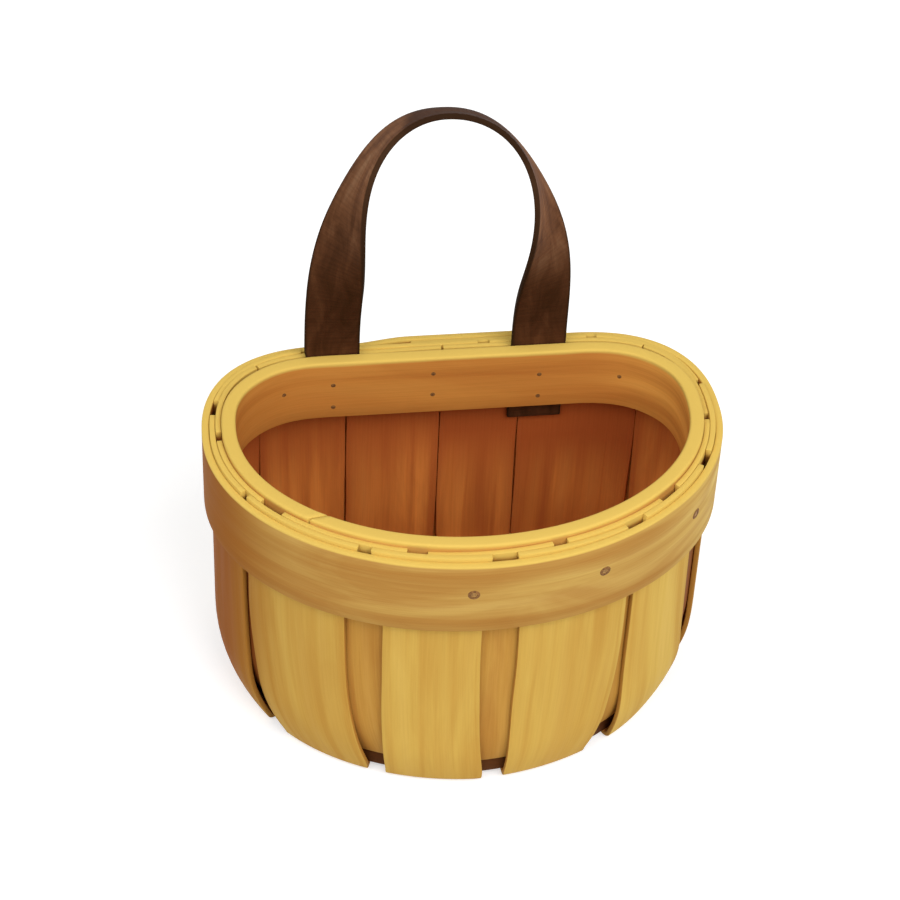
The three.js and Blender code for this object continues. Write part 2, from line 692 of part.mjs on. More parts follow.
add('outer_hoop', drill(outerHoopGeometry(), holes), HOOP_WOOD);
add('inner_hoop', drill(innerHoopGeometry(), holes), INNER_HOOP_WOOD);
add('base_board', drill(boardGeometry(), holes), BOARD_WOOD);
outerStaves.forEach(({ geometry }, i) => {
  add(`outer_stave_${i + 1}`, drill(geometry, holes), OUTER_STAVE_WOOD);
});
innerStaves.forEach(({ geometry }, i) => {
  add(`inner_stave_${i + 1}`, drill(geometry, holes), INNER_STAVE_WOOD);
});
for (const [side, x] of Object.entries(strapFeet)) {
  add(`strap_end_${side}`, drill(strapEndGeometry(x, STRAP_TAILS[side]), holes), LEATHER);
}
add('strap_arch', strapArchGeometry(), LEATHER);
for (const { name, geometry } of [...nails, ...tacks]) add(name, geometry, STEEL);

const middle = new THREE.Box3().setFromObject(basket).getCenter(new THREE.Vector3());
basket.position.set(-middle.x, -middle.y, 0);

export default basket;
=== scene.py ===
# %% [markdown]
# # A wall basket of chip wood
#
# The real basket is a stack of thin bent strips. Two layers of staves run down the wall and turn
# in under a board, two hoops hold the staves between them at the rim, and a leather strap stands
# up at the back. Small nails go through all of it.
#
# Every strip here is made the way a basket maker does it: a flat plank is sawn and eased along its
# edges first, and bent into place after that. The plank stage is plain bmesh work, so edges come
# out clean, and each plank keeps its own flat sizes as a UV map, so that the grain follows the bend.

# %% Load the measured frame
import math
import bpy
import bmesh
from mathutils import Matrix, Vector, noise


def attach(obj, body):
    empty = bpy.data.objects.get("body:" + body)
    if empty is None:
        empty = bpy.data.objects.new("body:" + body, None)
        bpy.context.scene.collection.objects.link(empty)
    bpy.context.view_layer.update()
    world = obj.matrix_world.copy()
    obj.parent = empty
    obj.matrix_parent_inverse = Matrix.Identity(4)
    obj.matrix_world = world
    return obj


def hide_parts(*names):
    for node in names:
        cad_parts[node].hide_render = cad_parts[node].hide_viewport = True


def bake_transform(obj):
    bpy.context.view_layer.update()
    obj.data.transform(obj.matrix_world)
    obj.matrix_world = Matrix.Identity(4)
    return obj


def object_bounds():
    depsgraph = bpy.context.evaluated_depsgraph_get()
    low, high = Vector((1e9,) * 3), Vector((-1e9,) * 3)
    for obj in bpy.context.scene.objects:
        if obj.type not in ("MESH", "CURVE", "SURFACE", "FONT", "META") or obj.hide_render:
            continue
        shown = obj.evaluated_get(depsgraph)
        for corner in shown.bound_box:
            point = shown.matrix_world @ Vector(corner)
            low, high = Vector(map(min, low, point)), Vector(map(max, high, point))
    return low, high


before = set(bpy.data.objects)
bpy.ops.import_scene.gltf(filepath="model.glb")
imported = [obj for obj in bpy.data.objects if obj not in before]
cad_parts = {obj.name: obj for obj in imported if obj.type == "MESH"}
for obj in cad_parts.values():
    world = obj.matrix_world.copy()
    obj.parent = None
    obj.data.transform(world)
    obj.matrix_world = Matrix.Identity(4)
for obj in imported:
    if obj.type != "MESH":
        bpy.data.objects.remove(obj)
measured_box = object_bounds()
MM = 0.001
print("nodes in the frame:", len(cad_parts))

# %% [markdown]
# ## Camera
#
# The photograph looks down into the basket from the front, a little from the left, through a long
# lens. The view was solved from the rim's and the foot's outlines. A camera could be aimed with a
# Track To constraint, but this one is also rolled a little, so its matrix is built from three axes.

# %% The camera
VIEW_AZIMUTH, VIEW_ELEVATION, VIEW_ROLL = math.radians(-8.67), math.radians(42.7), math.radians(2.6)
VIEW_TARGET = Vector((-4.07, 14.45, 101.31)) * MM
VIEW_DISTANCE = 1.0
FOCAL_PIXELS, PICTURE_PIXELS = 2790.5, 900
SENSOR_WIDTH = 36

towards_camera = Vector((
    math.sin(VIEW_AZIMUTH) * math.cos(VIEW_ELEVATION),
    -math.cos(VIEW_AZIMUTH) * math.cos(VIEW_ELEVATION),
    math.sin(VIEW_ELEVATION),
))
level_right = Vector((math.cos(VIEW_AZIMUTH), math.sin(VIEW_AZIMUTH), 0))
level_up = towards_camera.cross(level_right)
camera_right = level_right * math.cos(VIEW_ROLL) + level_up * math.sin(VIEW_ROLL)
camera_up = level_up * math.cos(VIEW_ROLL) - level_right * math.sin(VIEW_ROLL)

camera_data = bpy.data.cameras.new("camera")
camera_data.sensor_width = SENSOR_WIDTH
camera_data.lens = FOCAL_PIXELS / PICTURE_PIXELS * SENSOR_WIDTH
camera = bpy.data.objects.new("camera", camera_data)
turned = Matrix((camera_right, camera_up, towards_camera)).transposed().to_4x4()
camera.matrix_world = Matrix.Translation(VIEW_TARGET + towards_camera * VIEW_DISTANCE) @ turned
bpy.context.scene.collection.objects.link(camera)
bpy.context.scene.camera = camera
bpy.context.scene.view_settings.view_transform = "Standard"
print("lens in millimetres:", round(camera_data.lens, 1))

# %% [markdown]
# ## Nodes
#
# The floor, the world and all finishes are built from shader nodes. A node tree could be drawn by
# hand in the editor and appended. A small class does it here, so that each value stays readable:
# `add` makes a node, and `feed` links or sets its sockets, and gives a colour its alpha.

# %% Helpers for shader nodes
class Nodes:
    """The node tree of a material or a world, with short ways to add to it."""

    def __init__(self, owner):
        owner.use_nodes = True
        self.nodes, self.links = owner.node_tree.nodes, owner.node_tree.links

    def feed(self, sockets, values):
        for key, value in dict(values).items():
            if isinstance(value, bpy.types.NodeSocket):
                self.links.new(value, sockets[key])
            elif sockets[key].type == "RGBA":
                sockets[key].default_value = (*value, 1)
            else:
                sockets[key].default_value = value

    def add(self, kind, inputs=(), **settings):
        node = self.nodes.new(kind)
        for key, value in settings.items():
            setattr(node, key, value)
        self.feed(node.inputs, inputs)
        return node

    def math(self, operation, a, b=0.0):
        return self.add("ShaderNodeMath", {0: a, 1: b}, operation=operation).outputs[0]

    def seen_directly(self):
        """1 for the camera and for what shines or shows through, 0 for light on the basket."""
        rays = self.add("ShaderNodeLightPath").outputs
        seen = self.math("MAXIMUM", rays["Is Camera Ray"], rays["Is Glossy Ray"])
        return self.math("MAXIMUM", seen, rays["Is Transmission Ray"])


def grey(level):
    return (level,) * 3


print("middle grey:", grey(0.5))

# %% [markdown]
# ## Floor and light
#
# The photograph is a cut-out on white. A shadow catcher would leave the ground see-through, so the
# floor is a real one that is nearly white and has a little glow that only the camera sees. The
# ground is plain then and keeps its soft shadow. It lies a twentieth of a millimetre under the
# feet, so that the two don't share a plane.

# %% Floor
FLOOR_HALF = 4.0
FLOOR_DROP = 0.05 * MM
FLOOR_GREY, FLOOR_GLOW = 0.75, 0.46

bm = bmesh.new()
bmesh.ops.create_grid(bm, x_segments=2, y_segments=2, size=FLOOR_HALF)
bmesh.ops.translate(bm, vec=(0, 0, -FLOOR_DROP), verts=bm.verts)
mesh = bpy.data.meshes.new("studio_floor")
bm.to_mesh(mesh)
bm.free()
floor = bpy.data.objects.new("studio_floor", mesh)
bpy.context.scene.collection.objects.link(floor)

white = bpy.data.materials.new("studio_white")
tree = Nodes(white)
matt = tree.nodes["Principled BSDF"]
tree.feed(matt.inputs, {"Base Color": grey(FLOOR_GREY), "Roughness": 0.9, "Specular IOR Level": 0.1})
glow = tree.add("ShaderNodeEmission", {
    "Strength": tree.math("MULTIPLY", tree.seen_directly(), FLOOR_GLOW),
})
both = tree.add("ShaderNodeAddShader", {0: matt.outputs[0], 1: glow.outputs[0]})
tree.feed(tree.nodes["Material Output"].inputs, {"Surface": both.outputs[0]})
mesh.materials.append(white)
print("floor in metres:", [round(v, 2) for v in floor.dimensions])

# %% [markdown]
# The light in the photograph is soft and comes from the front: the right of the front is paler
# than the left. A sun would throw hard shadows, so there are two large soft lamps, a stronger one
# at the right and a weaker one at the left, and an even world. Together they light the wood at a
# level where a colour renders about as it is written. The camera sees the world as white.

# %% World and lamps
WORLD_LIGHT = 0.42
LAMP_AIM = Vector((0, 0, 0.08))

world = bpy.data.worlds.new("studio")
bpy.context.scene.world = world
sky = Nodes(world)
light = sky.nodes["Background"]
sky.feed(light.inputs, {"Color": grey(1), "Strength": WORLD_LIGHT})
seen = sky.add("ShaderNodeBackground", {"Strength": 1})
either = sky.add("ShaderNodeMixShader", {
    "Fac": sky.seen_directly(), 1: light.outputs[0], 2: seen.outputs[0],
})
sky.feed(sky.nodes["World Output"].inputs, {"Surface": either.outputs[0]})


def add_softbox(name, place, size, watts):
    lamp = bpy.data.lights.new(name, "AREA")
    lamp.shape = "SQUARE"
    lamp.size = size
    lamp.energy = watts
    softbox = bpy.data.objects.new(name, lamp)
    softbox.location = place
    softbox.rotation_euler = (LAMP_AIM - Vector(place)).to_track_quat("-Z", "Y").to_euler()
    bpy.context.scene.collection.objects.link(softbox)


add_softbox("key_light", place=(0.6, -1.1, 1.45), size=1.3, watts=25)
add_softbox("fill_light", place=(-1.0, -0.9, 1.5), size=1.2, watts=15)

# %% [markdown]
# ## The rim's outline
#
# Seen from above the rim is a D: half an ellipse in front, two rounded corners and a straight back.
# A Bezier curve could hold it, but every strip has to know how far along the rim it is, so the
# outline is kept as a fine table of points, outward directions and distances travelled. All
# depths are measured inwards from the outer hoop's outer face.

# %% The outline as a table
RIM_WIDTH = 185 * MM
FRONT_DEPTH = 72 * MM
BACK_DEPTH = 46.2 * MM
BACK_FLAT = 88 * MM
CORNER_POWER = 2.45
WIDEST_Y = measured_box[0].y + FRONT_DEPTH


def half_outline(count=240):
    half, flat = RIM_WIDTH / 2, BACK_FLAT / 2
    quarter_turn = [i / count * math.pi / 2 for i in range(count)]
    front = [Vector((math.sin(t) * half, -math.cos(t) * FRONT_DEPTH)) for t in quarter_turn]
    corner = [Vector((
        flat + (half - flat) * math.cos(t) ** (2 / CORNER_POWER),
        BACK_DEPTH * math.sin(t) ** (2 / CORNER_POWER),
    )) for t in quarter_turn]
    back_count = count // 4
    back = [Vector((flat * (1 - i / back_count), BACK_DEPTH)) for i in range(back_count)]
    return front + corner + back


right_half = half_outline()
outline = right_half + [Vector((0, BACK_DEPTH))] + [Vector((-p.x, p.y)) for p in right_half[:0:-1]]
travelled = [0.0]
for here, following in zip(outline, outline[1:] + outline[:1]):
    travelled.append(travelled[-1] + (following - here).length)
GIRTH = travelled.pop()
outward = []
for i in range(len(outline)):
    step = outline[(i + 1) % len(outline)] - outline[i - 1]
    outward.append(Vector((step.y, -step.x)).normalized())
print("girth in millimetres:", round(GIRTH / MM, 1))

# %% [markdown]
# `rim` looks a place up in that table by bisection. `rim_point` then steps inwards to a depth and
# up to a height, which is all that is needed to lay any strip round the basket.

# %% Points along the rim
from bisect import bisect_right


def rim(place):
    wrapped = place % GIRTH
    i = bisect_right(travelled, wrapped) - 1
    after = (i + 1) % len(outline)
    end = travelled[after] if after else GIRTH
    share = (wrapped - travelled[i]) / (end - travelled[i])
    return outline[i].lerp(outline[after], share), outward[i].lerp(outward[after], share).normalized()


def rim_point(place, depth, height):
    point, out = rim(place)
    inner = point - out * depth
    return Vector((inner.x, inner.y + WIDEST_Y, height))


def back_place(x):
    return GIRTH / 2 - x


print("front of the rim:", [round(v / MM, 1) for v in rim_point(0, 0, 0)])

# %% [markdown]
# Three small helpers come back in every step: the share of the way from one value to another, the
# same with a soft start and end, and a value at such a share.

# %% Shares of the way
def share_between(value, low, high):
    return min(max((value - low) / (high - low), 0), 1)


def smoothstep(value, low, high):
    t = share_between(value, low, high)
    return t * t * (3 - 2 * t)


def lerp(a, b, t):
    return a + (b - a) * t


print("a quarter of the way, softly:", smoothstep(0.25, 0, 1))

# %% [markdown]
# ## Sawing a flat plank
#
# Each strip starts as a cube stretched to a plank: X runs along the grain, Y across it and Z
# through the thickness. Its edges are eased with a bevel while it is flat, where a bevel can't go
# wrong. Then it is sawn across with bisect cuts, so that it has enough rows to bend. Three UV maps
# are kept: `grain` in metres, for the pattern of the wood, `span` from 0 to 1, for what changes
# towards an edge or an end, and `side`, which says which way a face looked while the plank was
# flat: 0 for its outer face, 1 for its inner face, and 0.5 for the sawn edges between.

# %% A plank with its maps
CORNER_ANGLE = math.radians(50)
WELD = 1e-7


def ease_edges(bm, edges, offset, segments=2):
    bmesh.ops.bevel(bm, geom=edges, offset=offset, segments=segments, profile=0.5,
                    affect="EDGES", material=-1, clamp_overlap=True)


def corners_of(bm):
    return [e for e in bm.edges if e.calc_face_angle(0) > CORNER_ANGLE]


def sawn_plank(length, width, thickness, along, across, ease, ease_top=None):
    bm = bmesh.new()
    bmesh.ops.create_cube(bm, size=1)
    bmesh.ops.scale(bm, vec=(length, width, thickness), verts=bm.verts)
    bmesh.ops.translate(bm, vec=(length / 2, 0, thickness / 2), verts=bm.verts)
    if ease_top:
        long_top = [e for e in bm.edges if all(v.co.y > 0 for v in e.verts)
                    and abs(e.verts[0].co.x - e.verts[1].co.x) > length / 2]
        ease_edges(bm, long_top, ease_top, segments=5)
    ease_edges(bm, corners_of(bm), ease)
    for direction, cuts in (((1, 0, 0), along), ((0, 1, 0), across)):
        for cut in cuts:
            bmesh.ops.bisect_plane(bm, geom=bm.verts[:] + bm.edges[:] + bm.faces[:], dist=WELD,
                                   plane_co=Vector(direction) * cut, plane_no=direction)
    return bm


def keep_maps(bm, length, width, offset=(0, 0)):
    grain, span, side = [bm.loops.layers.uv.new(key) for key in ("grain", "span", "side")]
    for face in bm.faces:
        face.normal_update()
        for loop in face.loops:
            x, y, z = loop.vert.co
            loop[grain].uv = (x + offset[0], y + z + offset[1])
            loop[span].uv = (x / length, y / width + 0.5)
            loop[side].uv = (0.5 + 0.5 * face.normal.z, abs(face.normal.x))


test_plank = sawn_plank(0.1, 0.03, 0.002, [0.02, 0.05], [0], 0.25 * MM)
print("faces of a small test plank:", len(test_plank.faces))
test_plank.free()

# %% [markdown]
# Bending moves every corner of the flat plank to its place with a rule for that strip. After that
# the bmesh becomes an object at the origin. Faces shade smooth, and only real corners stay sharp.
# Two float attributes hold how deep the tone of the outer and of the inner face is; they carry a strip's
# own tone and also painted light and shade. `ripple` is what keeps a strip from being perfect: soft noise
# of a chosen size and height.

# %% Bend a plank and make it an object
SEED_STEP = 7.31


def bend(bm, rule):
    for vert in bm.verts:
        vert.co = rule(*vert.co)


def make_piece(name, bm, material, replaced, tone=lambda point: 0.5, inner_tone=None,
               sharp_angle=40):
    bmesh.ops.recalc_face_normals(bm, faces=bm.faces)
    mesh = bpy.data.meshes.new(name)
    bm.to_mesh(mesh)
    bm.free()
    mesh.shade_smooth()
    mesh.set_sharp_from_angle(angle=math.radians(sharp_angle))
    for attribute, rule in (("tone", tone), ("inner_tone", inner_tone or tone)):
        tones = mesh.attributes.new(attribute, "FLOAT", "POINT")
        tones.data.foreach_set("value", [rule(vert.co) for vert in mesh.vertices])
    mesh.materials.append(material)
    piece = bpy.data.objects.new(name, mesh)
    bpy.context.scene.collection.objects.link(piece)
    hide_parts(*replaced)
    return piece


def even_cuts(start, end, step):
    count = max(2, round((end - start) / step))
    return [lerp(start, end, i / count) for i in range(1, count)]


def ripple(seed, x, y, size, height):
    return noise.noise(Vector((x / size, y / size, seed * SEED_STEP))) * height


print("ripple of 0.1 mm at one spot:", round(ripple(1, 0.03, 0.01, 0.02, 0.1), 4))

# %% [markdown]
# ## Chip wood
#
# Chip wood is peeled or sliced, so its face shows soft straight bands and pale and brown clouds
# along the grain, and hardly any fibres. It could be a Wave texture, but real bands come and go.
# Here three Noise textures are stretched along the strip: fine fibres, bands some millimetres
# wide, and broad clouds. `Finish` adds what patterns need to the class for nodes.

# %% Helpers for finishes
class Finish(Nodes):
    """Nodes of one material, with ways to read a piece's maps and to mix colours and patterns."""

    def __init__(self, name):
        self.material = bpy.data.materials.new(name)
        super().__init__(self.material)
        self.shader = self.nodes["Principled BSDF"]

    def uv(self, name):
        return self.add("ShaderNodeUVMap", uv_map=name).outputs[0]

    def attribute(self, name):
        return self.add("ShaderNodeAttribute", attribute_name=name).outputs["Fac"]

    def split(self, vector):
        return self.add("ShaderNodeSeparateXYZ", {"Vector": vector}).outputs

    def off_middle(self, value):
        return self.math("ABSOLUTE", self.math("SUBTRACT", value, 0.5))

    def mix(self, factor, a, b, blend="MIX"):
        node = self.add("ShaderNodeMix", {0: factor, 6: a, 7: b}, data_type="RGBA", blend_type=blend)
        return node.outputs[2]

    def ramp(self, factor, *stops):
        node = self.add("ShaderNodeValToRGB", {"Fac": factor})
        while len(node.color_ramp.elements) < len(stops):
            node.color_ramp.elements.new(0.5)
        for element, (position, colour) in zip(node.color_ramp.elements, stops):
            element.position = position
            element.color = (*colour, 1)
        return node.outputs["Color"]

    def mask(self, value, start, full):
        """0 at start and 1 at full, which may be the lower of the two."""
        return self.ramp(value, *sorted([(start, grey(0)), (full, grey(1))]))

    def stretched_noise(self, uv, along, across, detail=3.0, roughness=0.5, distortion=0.0):
        """Noise that changes about this many times in a metre along the strip and across it."""
        mapping = self.add("ShaderNodeMapping", {"Vector": uv, "Scale": (along, across, 1)})
        return self.add("ShaderNodeTexNoise", {
            "Vector": mapping.outputs[0], "Scale": 1.0, "Detail": detail,
            "Roughness": roughness, "Distortion": distortion,
        }, noise_dimensions="2D").outputs["Fac"]

    def bump(self, height, strength, distance, **over):
        values = {"Height": height, "Strength": strength, "Distance": distance, **over}
        return self.add("ShaderNodeBump", values).outputs[0]


def from_srgb(*colour):
    def straight(value):
        share = value / 255
        return share / 12.92 if share <= 0.04045 else ((share + 0.055) / 1.055) ** 2.4
    return tuple(straight(value) for value in colour)


def shades(*colours):
    return [from_srgb(*colour) for colour in colours]


print("ochre as light:", [round(v, 3) for v in from_srgb(202, 165, 77)])

# %% [markdown]
# Each strip has one colour set for its outer face and another for the inner one, because the light between
# the walls makes the inside of the real basket a deeper orange, so the inner set is painted light. The two
# tone attributes make a strip or a part of it darker, partly as its own tone and partly as painted shade.
# Sawn edges are browner. Fresh cut ends and the crest of the rim are the palest, partly as fresh wood and
# partly as painted light on the tops. A rate says how often a pattern changes in a metre, along and
# across.

# %% The wood itself
FIBRE_RATE, CREST_RATE = (30, 1500), (30, 30)
BAND_STOPS = (0.28, 0.5, 0.72)
FIBRE_SHADE = (0.78, 0.72, 0.64)
# The palest colour: partly the fresh wood of cut ends and partly painted light on the tops, which face the
# lamps.
FRESH_CUT_AND_TOP_LIGHT = from_srgb(217, 182, 90)


def chip_wood(name, outer, inner, edge, end=FRESH_CUT_AND_TOP_LIGHT, crest=None, clouds=0.4, bands=0.5, fibre=0.3,
              gloss=0.6, cloud_rate=(9, 45), band_rate=(6, 150), shade=None, seam_shade=0.0):
    """outer and inner are (pale, middle, deep) colours, and crest is (map axis, start, full).

    The tones pull an outer face towards shade, and a strip's long sides can be darkened with painted
    shade, for the seams that lie in shadow between strips.
    """
    finish = Finish(name)
    grain = finish.uv("grain")
    span, side = finish.split(finish.uv("span")), finish.split(finish.uv("side"))
    fibres = finish.stretched_noise(grain, *FIBRE_RATE, detail=4, roughness=0.6)
    band = finish.stretched_noise(grain, *band_rate, detail=3, distortion=0.3)
    cloud = finish.stretched_noise(grain, *cloud_rate, detail=4, roughness=0.55, distortion=0.8)
    inside = finish.mask(side["X"], 0.6, 0.8)

    plain = finish.mix(inside, outer[1], inner[1])
    banded = finish.mix(inside, *[finish.ramp(band, *zip(BAND_STOPS, reversed(colours)))
                                  for colours in (outer, inner)])
    deep = finish.mix(inside, outer[2], inner[2])
    patch = finish.math("MULTIPLY", finish.mask(cloud, 0.64, 0.36), clouds)
    patchy = finish.mix(patch, finish.mix(bands, plain, banded), deep)
    tone = finish.mix(inside, finish.attribute("tone"), finish.attribute("inner_tone"))
    colour = finish.mix(tone, patchy, finish.mix(inside, shade or outer[2], inner[2]))
    # Painted shade along a strip's long sides, where the seams between strips lie in shadow.
    if seam_shade:
        towards_seam = finish.mask(finish.off_middle(span["Y"]), 0.34, 0.5)
        colour = finish.mix(finish.math("MULTIPLY", towards_seam, seam_shade), colour, deep)
    thread = finish.ramp(fibres, (0.34, FIBRE_SHADE), (0.6, grey(1)))
    colour = finish.mix(fibre, colour, thread, blend="MULTIPLY")

    flatness = finish.math("MULTIPLY", finish.off_middle(side["X"]), 2.0)
    sawn = finish.math("MULTIPLY", finish.mask(flatness, 0.85, 0.25), 0.8)
    colour = finish.mix(sawn, colour, edge)
    colour = finish.mix(finish.mask(side["Y"], 0.3, 0.8), colour, end)
    # The crest is painted pale, partly as fresh wood and partly as painted light on the top.
    if crest:
        axis, start, full = crest
        wander = finish.math("SUBTRACT", finish.stretched_noise(grain, *CREST_RATE, detail=2), 0.5)
        height = finish.math("ADD", span[axis], finish.math("MULTIPLY", wander, abs(full - start)))
        colour = finish.mix(finish.mask(height, start, full), colour, FRESH_CUT_AND_TOP_LIGHT)

    relief = finish.bump(fibres, 0.16, 0.1 * MM)
    finish.feed(finish.shader.inputs, {
        "Base Color": colour,
        "Roughness": finish.ramp(band, (0.3, grey(gloss + 0.08)), (0.7, grey(gloss - 0.05))),
        "Specular IOR Level": 0.05,
        "Normal": finish.bump(band, 0.2, 0.4 * MM, Normal=relief),
    })
    return finish.material


print("a fresh cut as light:", [round(v, 3) for v in FRESH_CUT_AND_TOP_LIGHT])

# %% [markdown]
# The basket's four woods differ in colour and in the size of their clouds and bands. The crest of a hoop
# is the top of its width, along Y, and the crest of a stave is the start of its length, along X. A crest
# is painted in the palest colour, partly as fresh wood and partly as painted light on the tops.

# %% Four woods
hoop_wood = chip_wood(
    "hoop_chip_wood",
    outer=shades((228, 200, 118), (221, 191, 107), (172, 120, 58)),
    inner=shades((214, 158, 80), (200, 140, 66), (160, 98, 44)),
    edge=from_srgb(176, 124, 54), crest=("Y", 0.965, 0.985), clouds=0.55, band_rate=(5, 120),
    cloud_rate=(14, 60), shade=from_srgb(150, 90, 24))
inner_hoop_wood = chip_wood(
    "inner_hoop_chip_wood",
    outer=shades((226, 178, 96), (214, 164, 84), (186, 124, 58)),
    inner=shades((244, 184, 92), (236, 170, 80), (178, 106, 45)),
    edge=FRESH_CUT_AND_TOP_LIGHT, crest=("Y", 0.93, 0.97), clouds=0.3)
outer_stave_wood = chip_wood(
    "outer_stave_chip_wood",
    outer=shades((220, 187, 97), (213, 178, 87), (184, 132, 54)),
    inner=shades((218, 150, 76), (206, 134, 62), (172, 98, 42)),
    edge=from_srgb(170, 118, 50), crest=("X", 0.03, 0.015), clouds=0.3, fibre=0.2, bands=0.4,
    shade=from_srgb(146, 82, 12))
inner_stave_wood = chip_wood(
    "inner_stave_chip_wood",
    outer=shades((202, 156, 76), (194, 146, 66), (164, 104, 42)),
    inner=shades((255, 176, 88), (252, 162, 75), (164, 82, 38)),
    edge=from_srgb(214, 128, 66), crest=("X", 0.03, 0.015), shade=from_srgb(120, 62, 22),
    seam_shade=0.55)
print("woods:", [m.name for m in bpy.data.materials if m.name.endswith("chip_wood")])

# %% [markdown]
# ## The outer hoop
#
# One strip goes round the outside of the rim. It starts at the back, runs past the right side and
# the front, and climbs over its own first end, so that the two ends lie lapped and can be nailed.
# A ring could be swept, but a lap needs a real strip with two ends. Near the rim the nails pull
# all layers together, so each strip is a little thicker there, the hoops on the staves' side only.

# %% Outer hoop
BASKET_HEIGHT = 120 * MM
OUTER_HOOP_TOP = BASKET_HEIGHT - 3.3 * MM
OUTER_HOOP_HEIGHT = 31.2 * MM
OUTER_HOOP_THICKNESS = 2.5 * MM
CLEARANCE = 0.3 * MM
LAP_LENGTH, LAP_RAMP, LAP_START_X = 45 * MM, 24 * MM, -14 * MM
LAP_RISE = OUTER_HOOP_THICKNESS + CLEARANCE
SNUG = 0.1 * MM
END_MARGIN, HOOP_STEP = 0.5 * MM, 2.2 * MM
HOOP_LENGTH = GIRTH + LAP_LENGTH
hoop_start = back_place(LAP_START_X)


def swelling(z, thickness):
    return SNUG * (2 * z / thickness - 1)


def hoop_cuts(length):
    return even_cuts(END_MARGIN, length - END_MARGIN, HOOP_STEP)


def lay_outer_hoop(x, y, z):
    ramp_top = GIRTH - CLEARANCE
    rise = LAP_RISE * smoothstep(x, ramp_top - LAP_RAMP, ramp_top)
    depth = max(z, z + swelling(z, OUTER_HOOP_THICKNESS)) - rise + ripple(3, x, y, 30 * MM, 0.06 * MM)
    height = OUTER_HOOP_TOP - OUTER_HOOP_HEIGHT / 2 + y
    if y < 0:
        height += abs(ripple(4, x, 0, 22 * MM, 0.25 * MM))
    return rim_point(hoop_start - x, depth, height)


def lit_right_shaded_left(point):
    """Painted light and shade: paler than the middle at the right of the front, as painted light, and
    darker at the far left, as painted shade.
    """
    right = 0.12 * smoothstep(point.x, 0, 50 * MM) + 0.38 * smoothstep(point.x, 56 * MM, 90 * MM)
    return 0.5 - right + 0.5 * smoothstep(-point.x, 62 * MM, 90 * MM)


hoop = sawn_plank(HOOP_LENGTH, OUTER_HOOP_HEIGHT, OUTER_HOOP_THICKNESS, hoop_cuts(HOOP_LENGTH),
                  across=(-8 * MM, 0, 8 * MM), ease=0.4 * MM)
keep_maps(hoop, HOOP_LENGTH, OUTER_HOOP_HEIGHT)
bend(hoop, lay_outer_hoop)
outer_band = make_piece("outer_band", hoop, hoop_wood, ["outer_hoop"],
                        tone=lit_right_shaded_left)
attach(outer_band, "basket")
print("outer hoop faces:", len(outer_band.data.polygons))

# %% [markdown]
# ## The inner hoop
#
# The inner hoop is the thick one, with rounded top edges where hands reach in. Its two ends are
# cut on the slant and meet at the left of the front. Along the back it stands off the staves,
# which leaves a slot for the ends of the strap.

# %% Inner hoop
STAVE_THICKNESS = 1.8 * MM
OUTER_STAVE_DEPTH = OUTER_HOOP_THICKNESS + CLEARANCE
INNER_STAVE_DEPTH = OUTER_STAVE_DEPTH + STAVE_THICKNESS + CLEARANCE
INNER_HOOP_DEPTH = INNER_STAVE_DEPTH + STAVE_THICKNESS + CLEARANCE
INNER_HOOP_THICKNESS, INNER_HOOP_HEIGHT = 5 * MM, 26 * MM
STRAP_THICKNESS = 2 * MM
STRAP_SLOT = STRAP_THICKNESS + CLEARANCE
SCARF_LENGTH = 6 * MM
scarf_start = 0.867 * GIRTH


def slot_depth(place):
    return STRAP_SLOT * smoothstep(rim(place)[1].y, 0, 0.9)


def lay_inner_hoop(x, y, z):
    near_end = max(0, 1 - min(x, GIRTH - x) / (4 * SCARF_LENGTH))
    slant = SCARF_LENGTH * z / INNER_HOOP_THICKNESS * near_end
    place = scarf_start + x * (1 - 3 * CLEARANCE / GIRTH) + slant
    depth = INNER_HOOP_DEPTH + slot_depth(place) + min(z, z + swelling(z, INNER_HOOP_THICKNESS))
    depth += ripple(8, x, y, 30 * MM, 0.05 * MM)
    return rim_point(place, depth, BASKET_HEIGHT - INNER_HOOP_HEIGHT / 2 + y)


# Painted shade on the inside face of the inner hoop, taken away towards the right end, which is painted as
# lit.
def shaded_inside_lit_right(point):
    return 0.6 - 0.6 * smoothstep(point.x, 48 * MM, 86 * MM)


hoop = sawn_plank(GIRTH, INNER_HOOP_HEIGHT, INNER_HOOP_THICKNESS, hoop_cuts(GIRTH),
                  across=(-6 * MM, 0, 6 * MM), ease=0.35 * MM, ease_top=0.9 * MM)
keep_maps(hoop, GIRTH, INNER_HOOP_HEIGHT, offset=(0.7, 0.2))
bend(hoop, lay_inner_hoop)
inner_band = make_piece("inner_band", hoop, inner_hoop_wood, ["inner_hoop"],
                        tone=lambda point: 0.1, inner_tone=shaded_inside_lit_right)
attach(inner_band, "basket")
print("inner hoop faces:", len(inner_band.data.polygons))

# %% [markdown]
# ## The wall of staves
#
# A stave runs straight down from the rim, leans into a slow curve low on the wall, turns tightly
# and ends in a flat foot. The slow curve is slight at the front and back and strong at the sides.
# The path is split in four stretches, so that every stave has a cut where its curve changes.

# %% The wall's profile
STAVE_TOP = BASKET_HEIGHT - 1.9 * MM
BOARD_THICKNESS = 6.5 * MM
BOARD_BOTTOM = STAVE_THICKNESS + CLEARANCE
INNER_STAVE_LIFT = BOARD_THICKNESS + CLEARANCE
BELLY_RADIUS, FOOT_RADIUS, FOOT_LENGTH = 66 * MM, 4.5 * MM, 12 * MM
FRONT_BELLY, SIDE_BELLY = math.radians(13.5), math.radians(29)


def belly(place):
    """The slow curve's angle, how high it starts and how deep the foot begins."""
    angle = lerp(FRONT_BELLY, SIDE_BELLY, abs(rim(place)[1].x))
    across = BELLY_RADIUS - FOOT_RADIUS
    return angle, FOOT_RADIUS + across * math.sin(angle), BELLY_RADIUS - across * math.cos(angle)


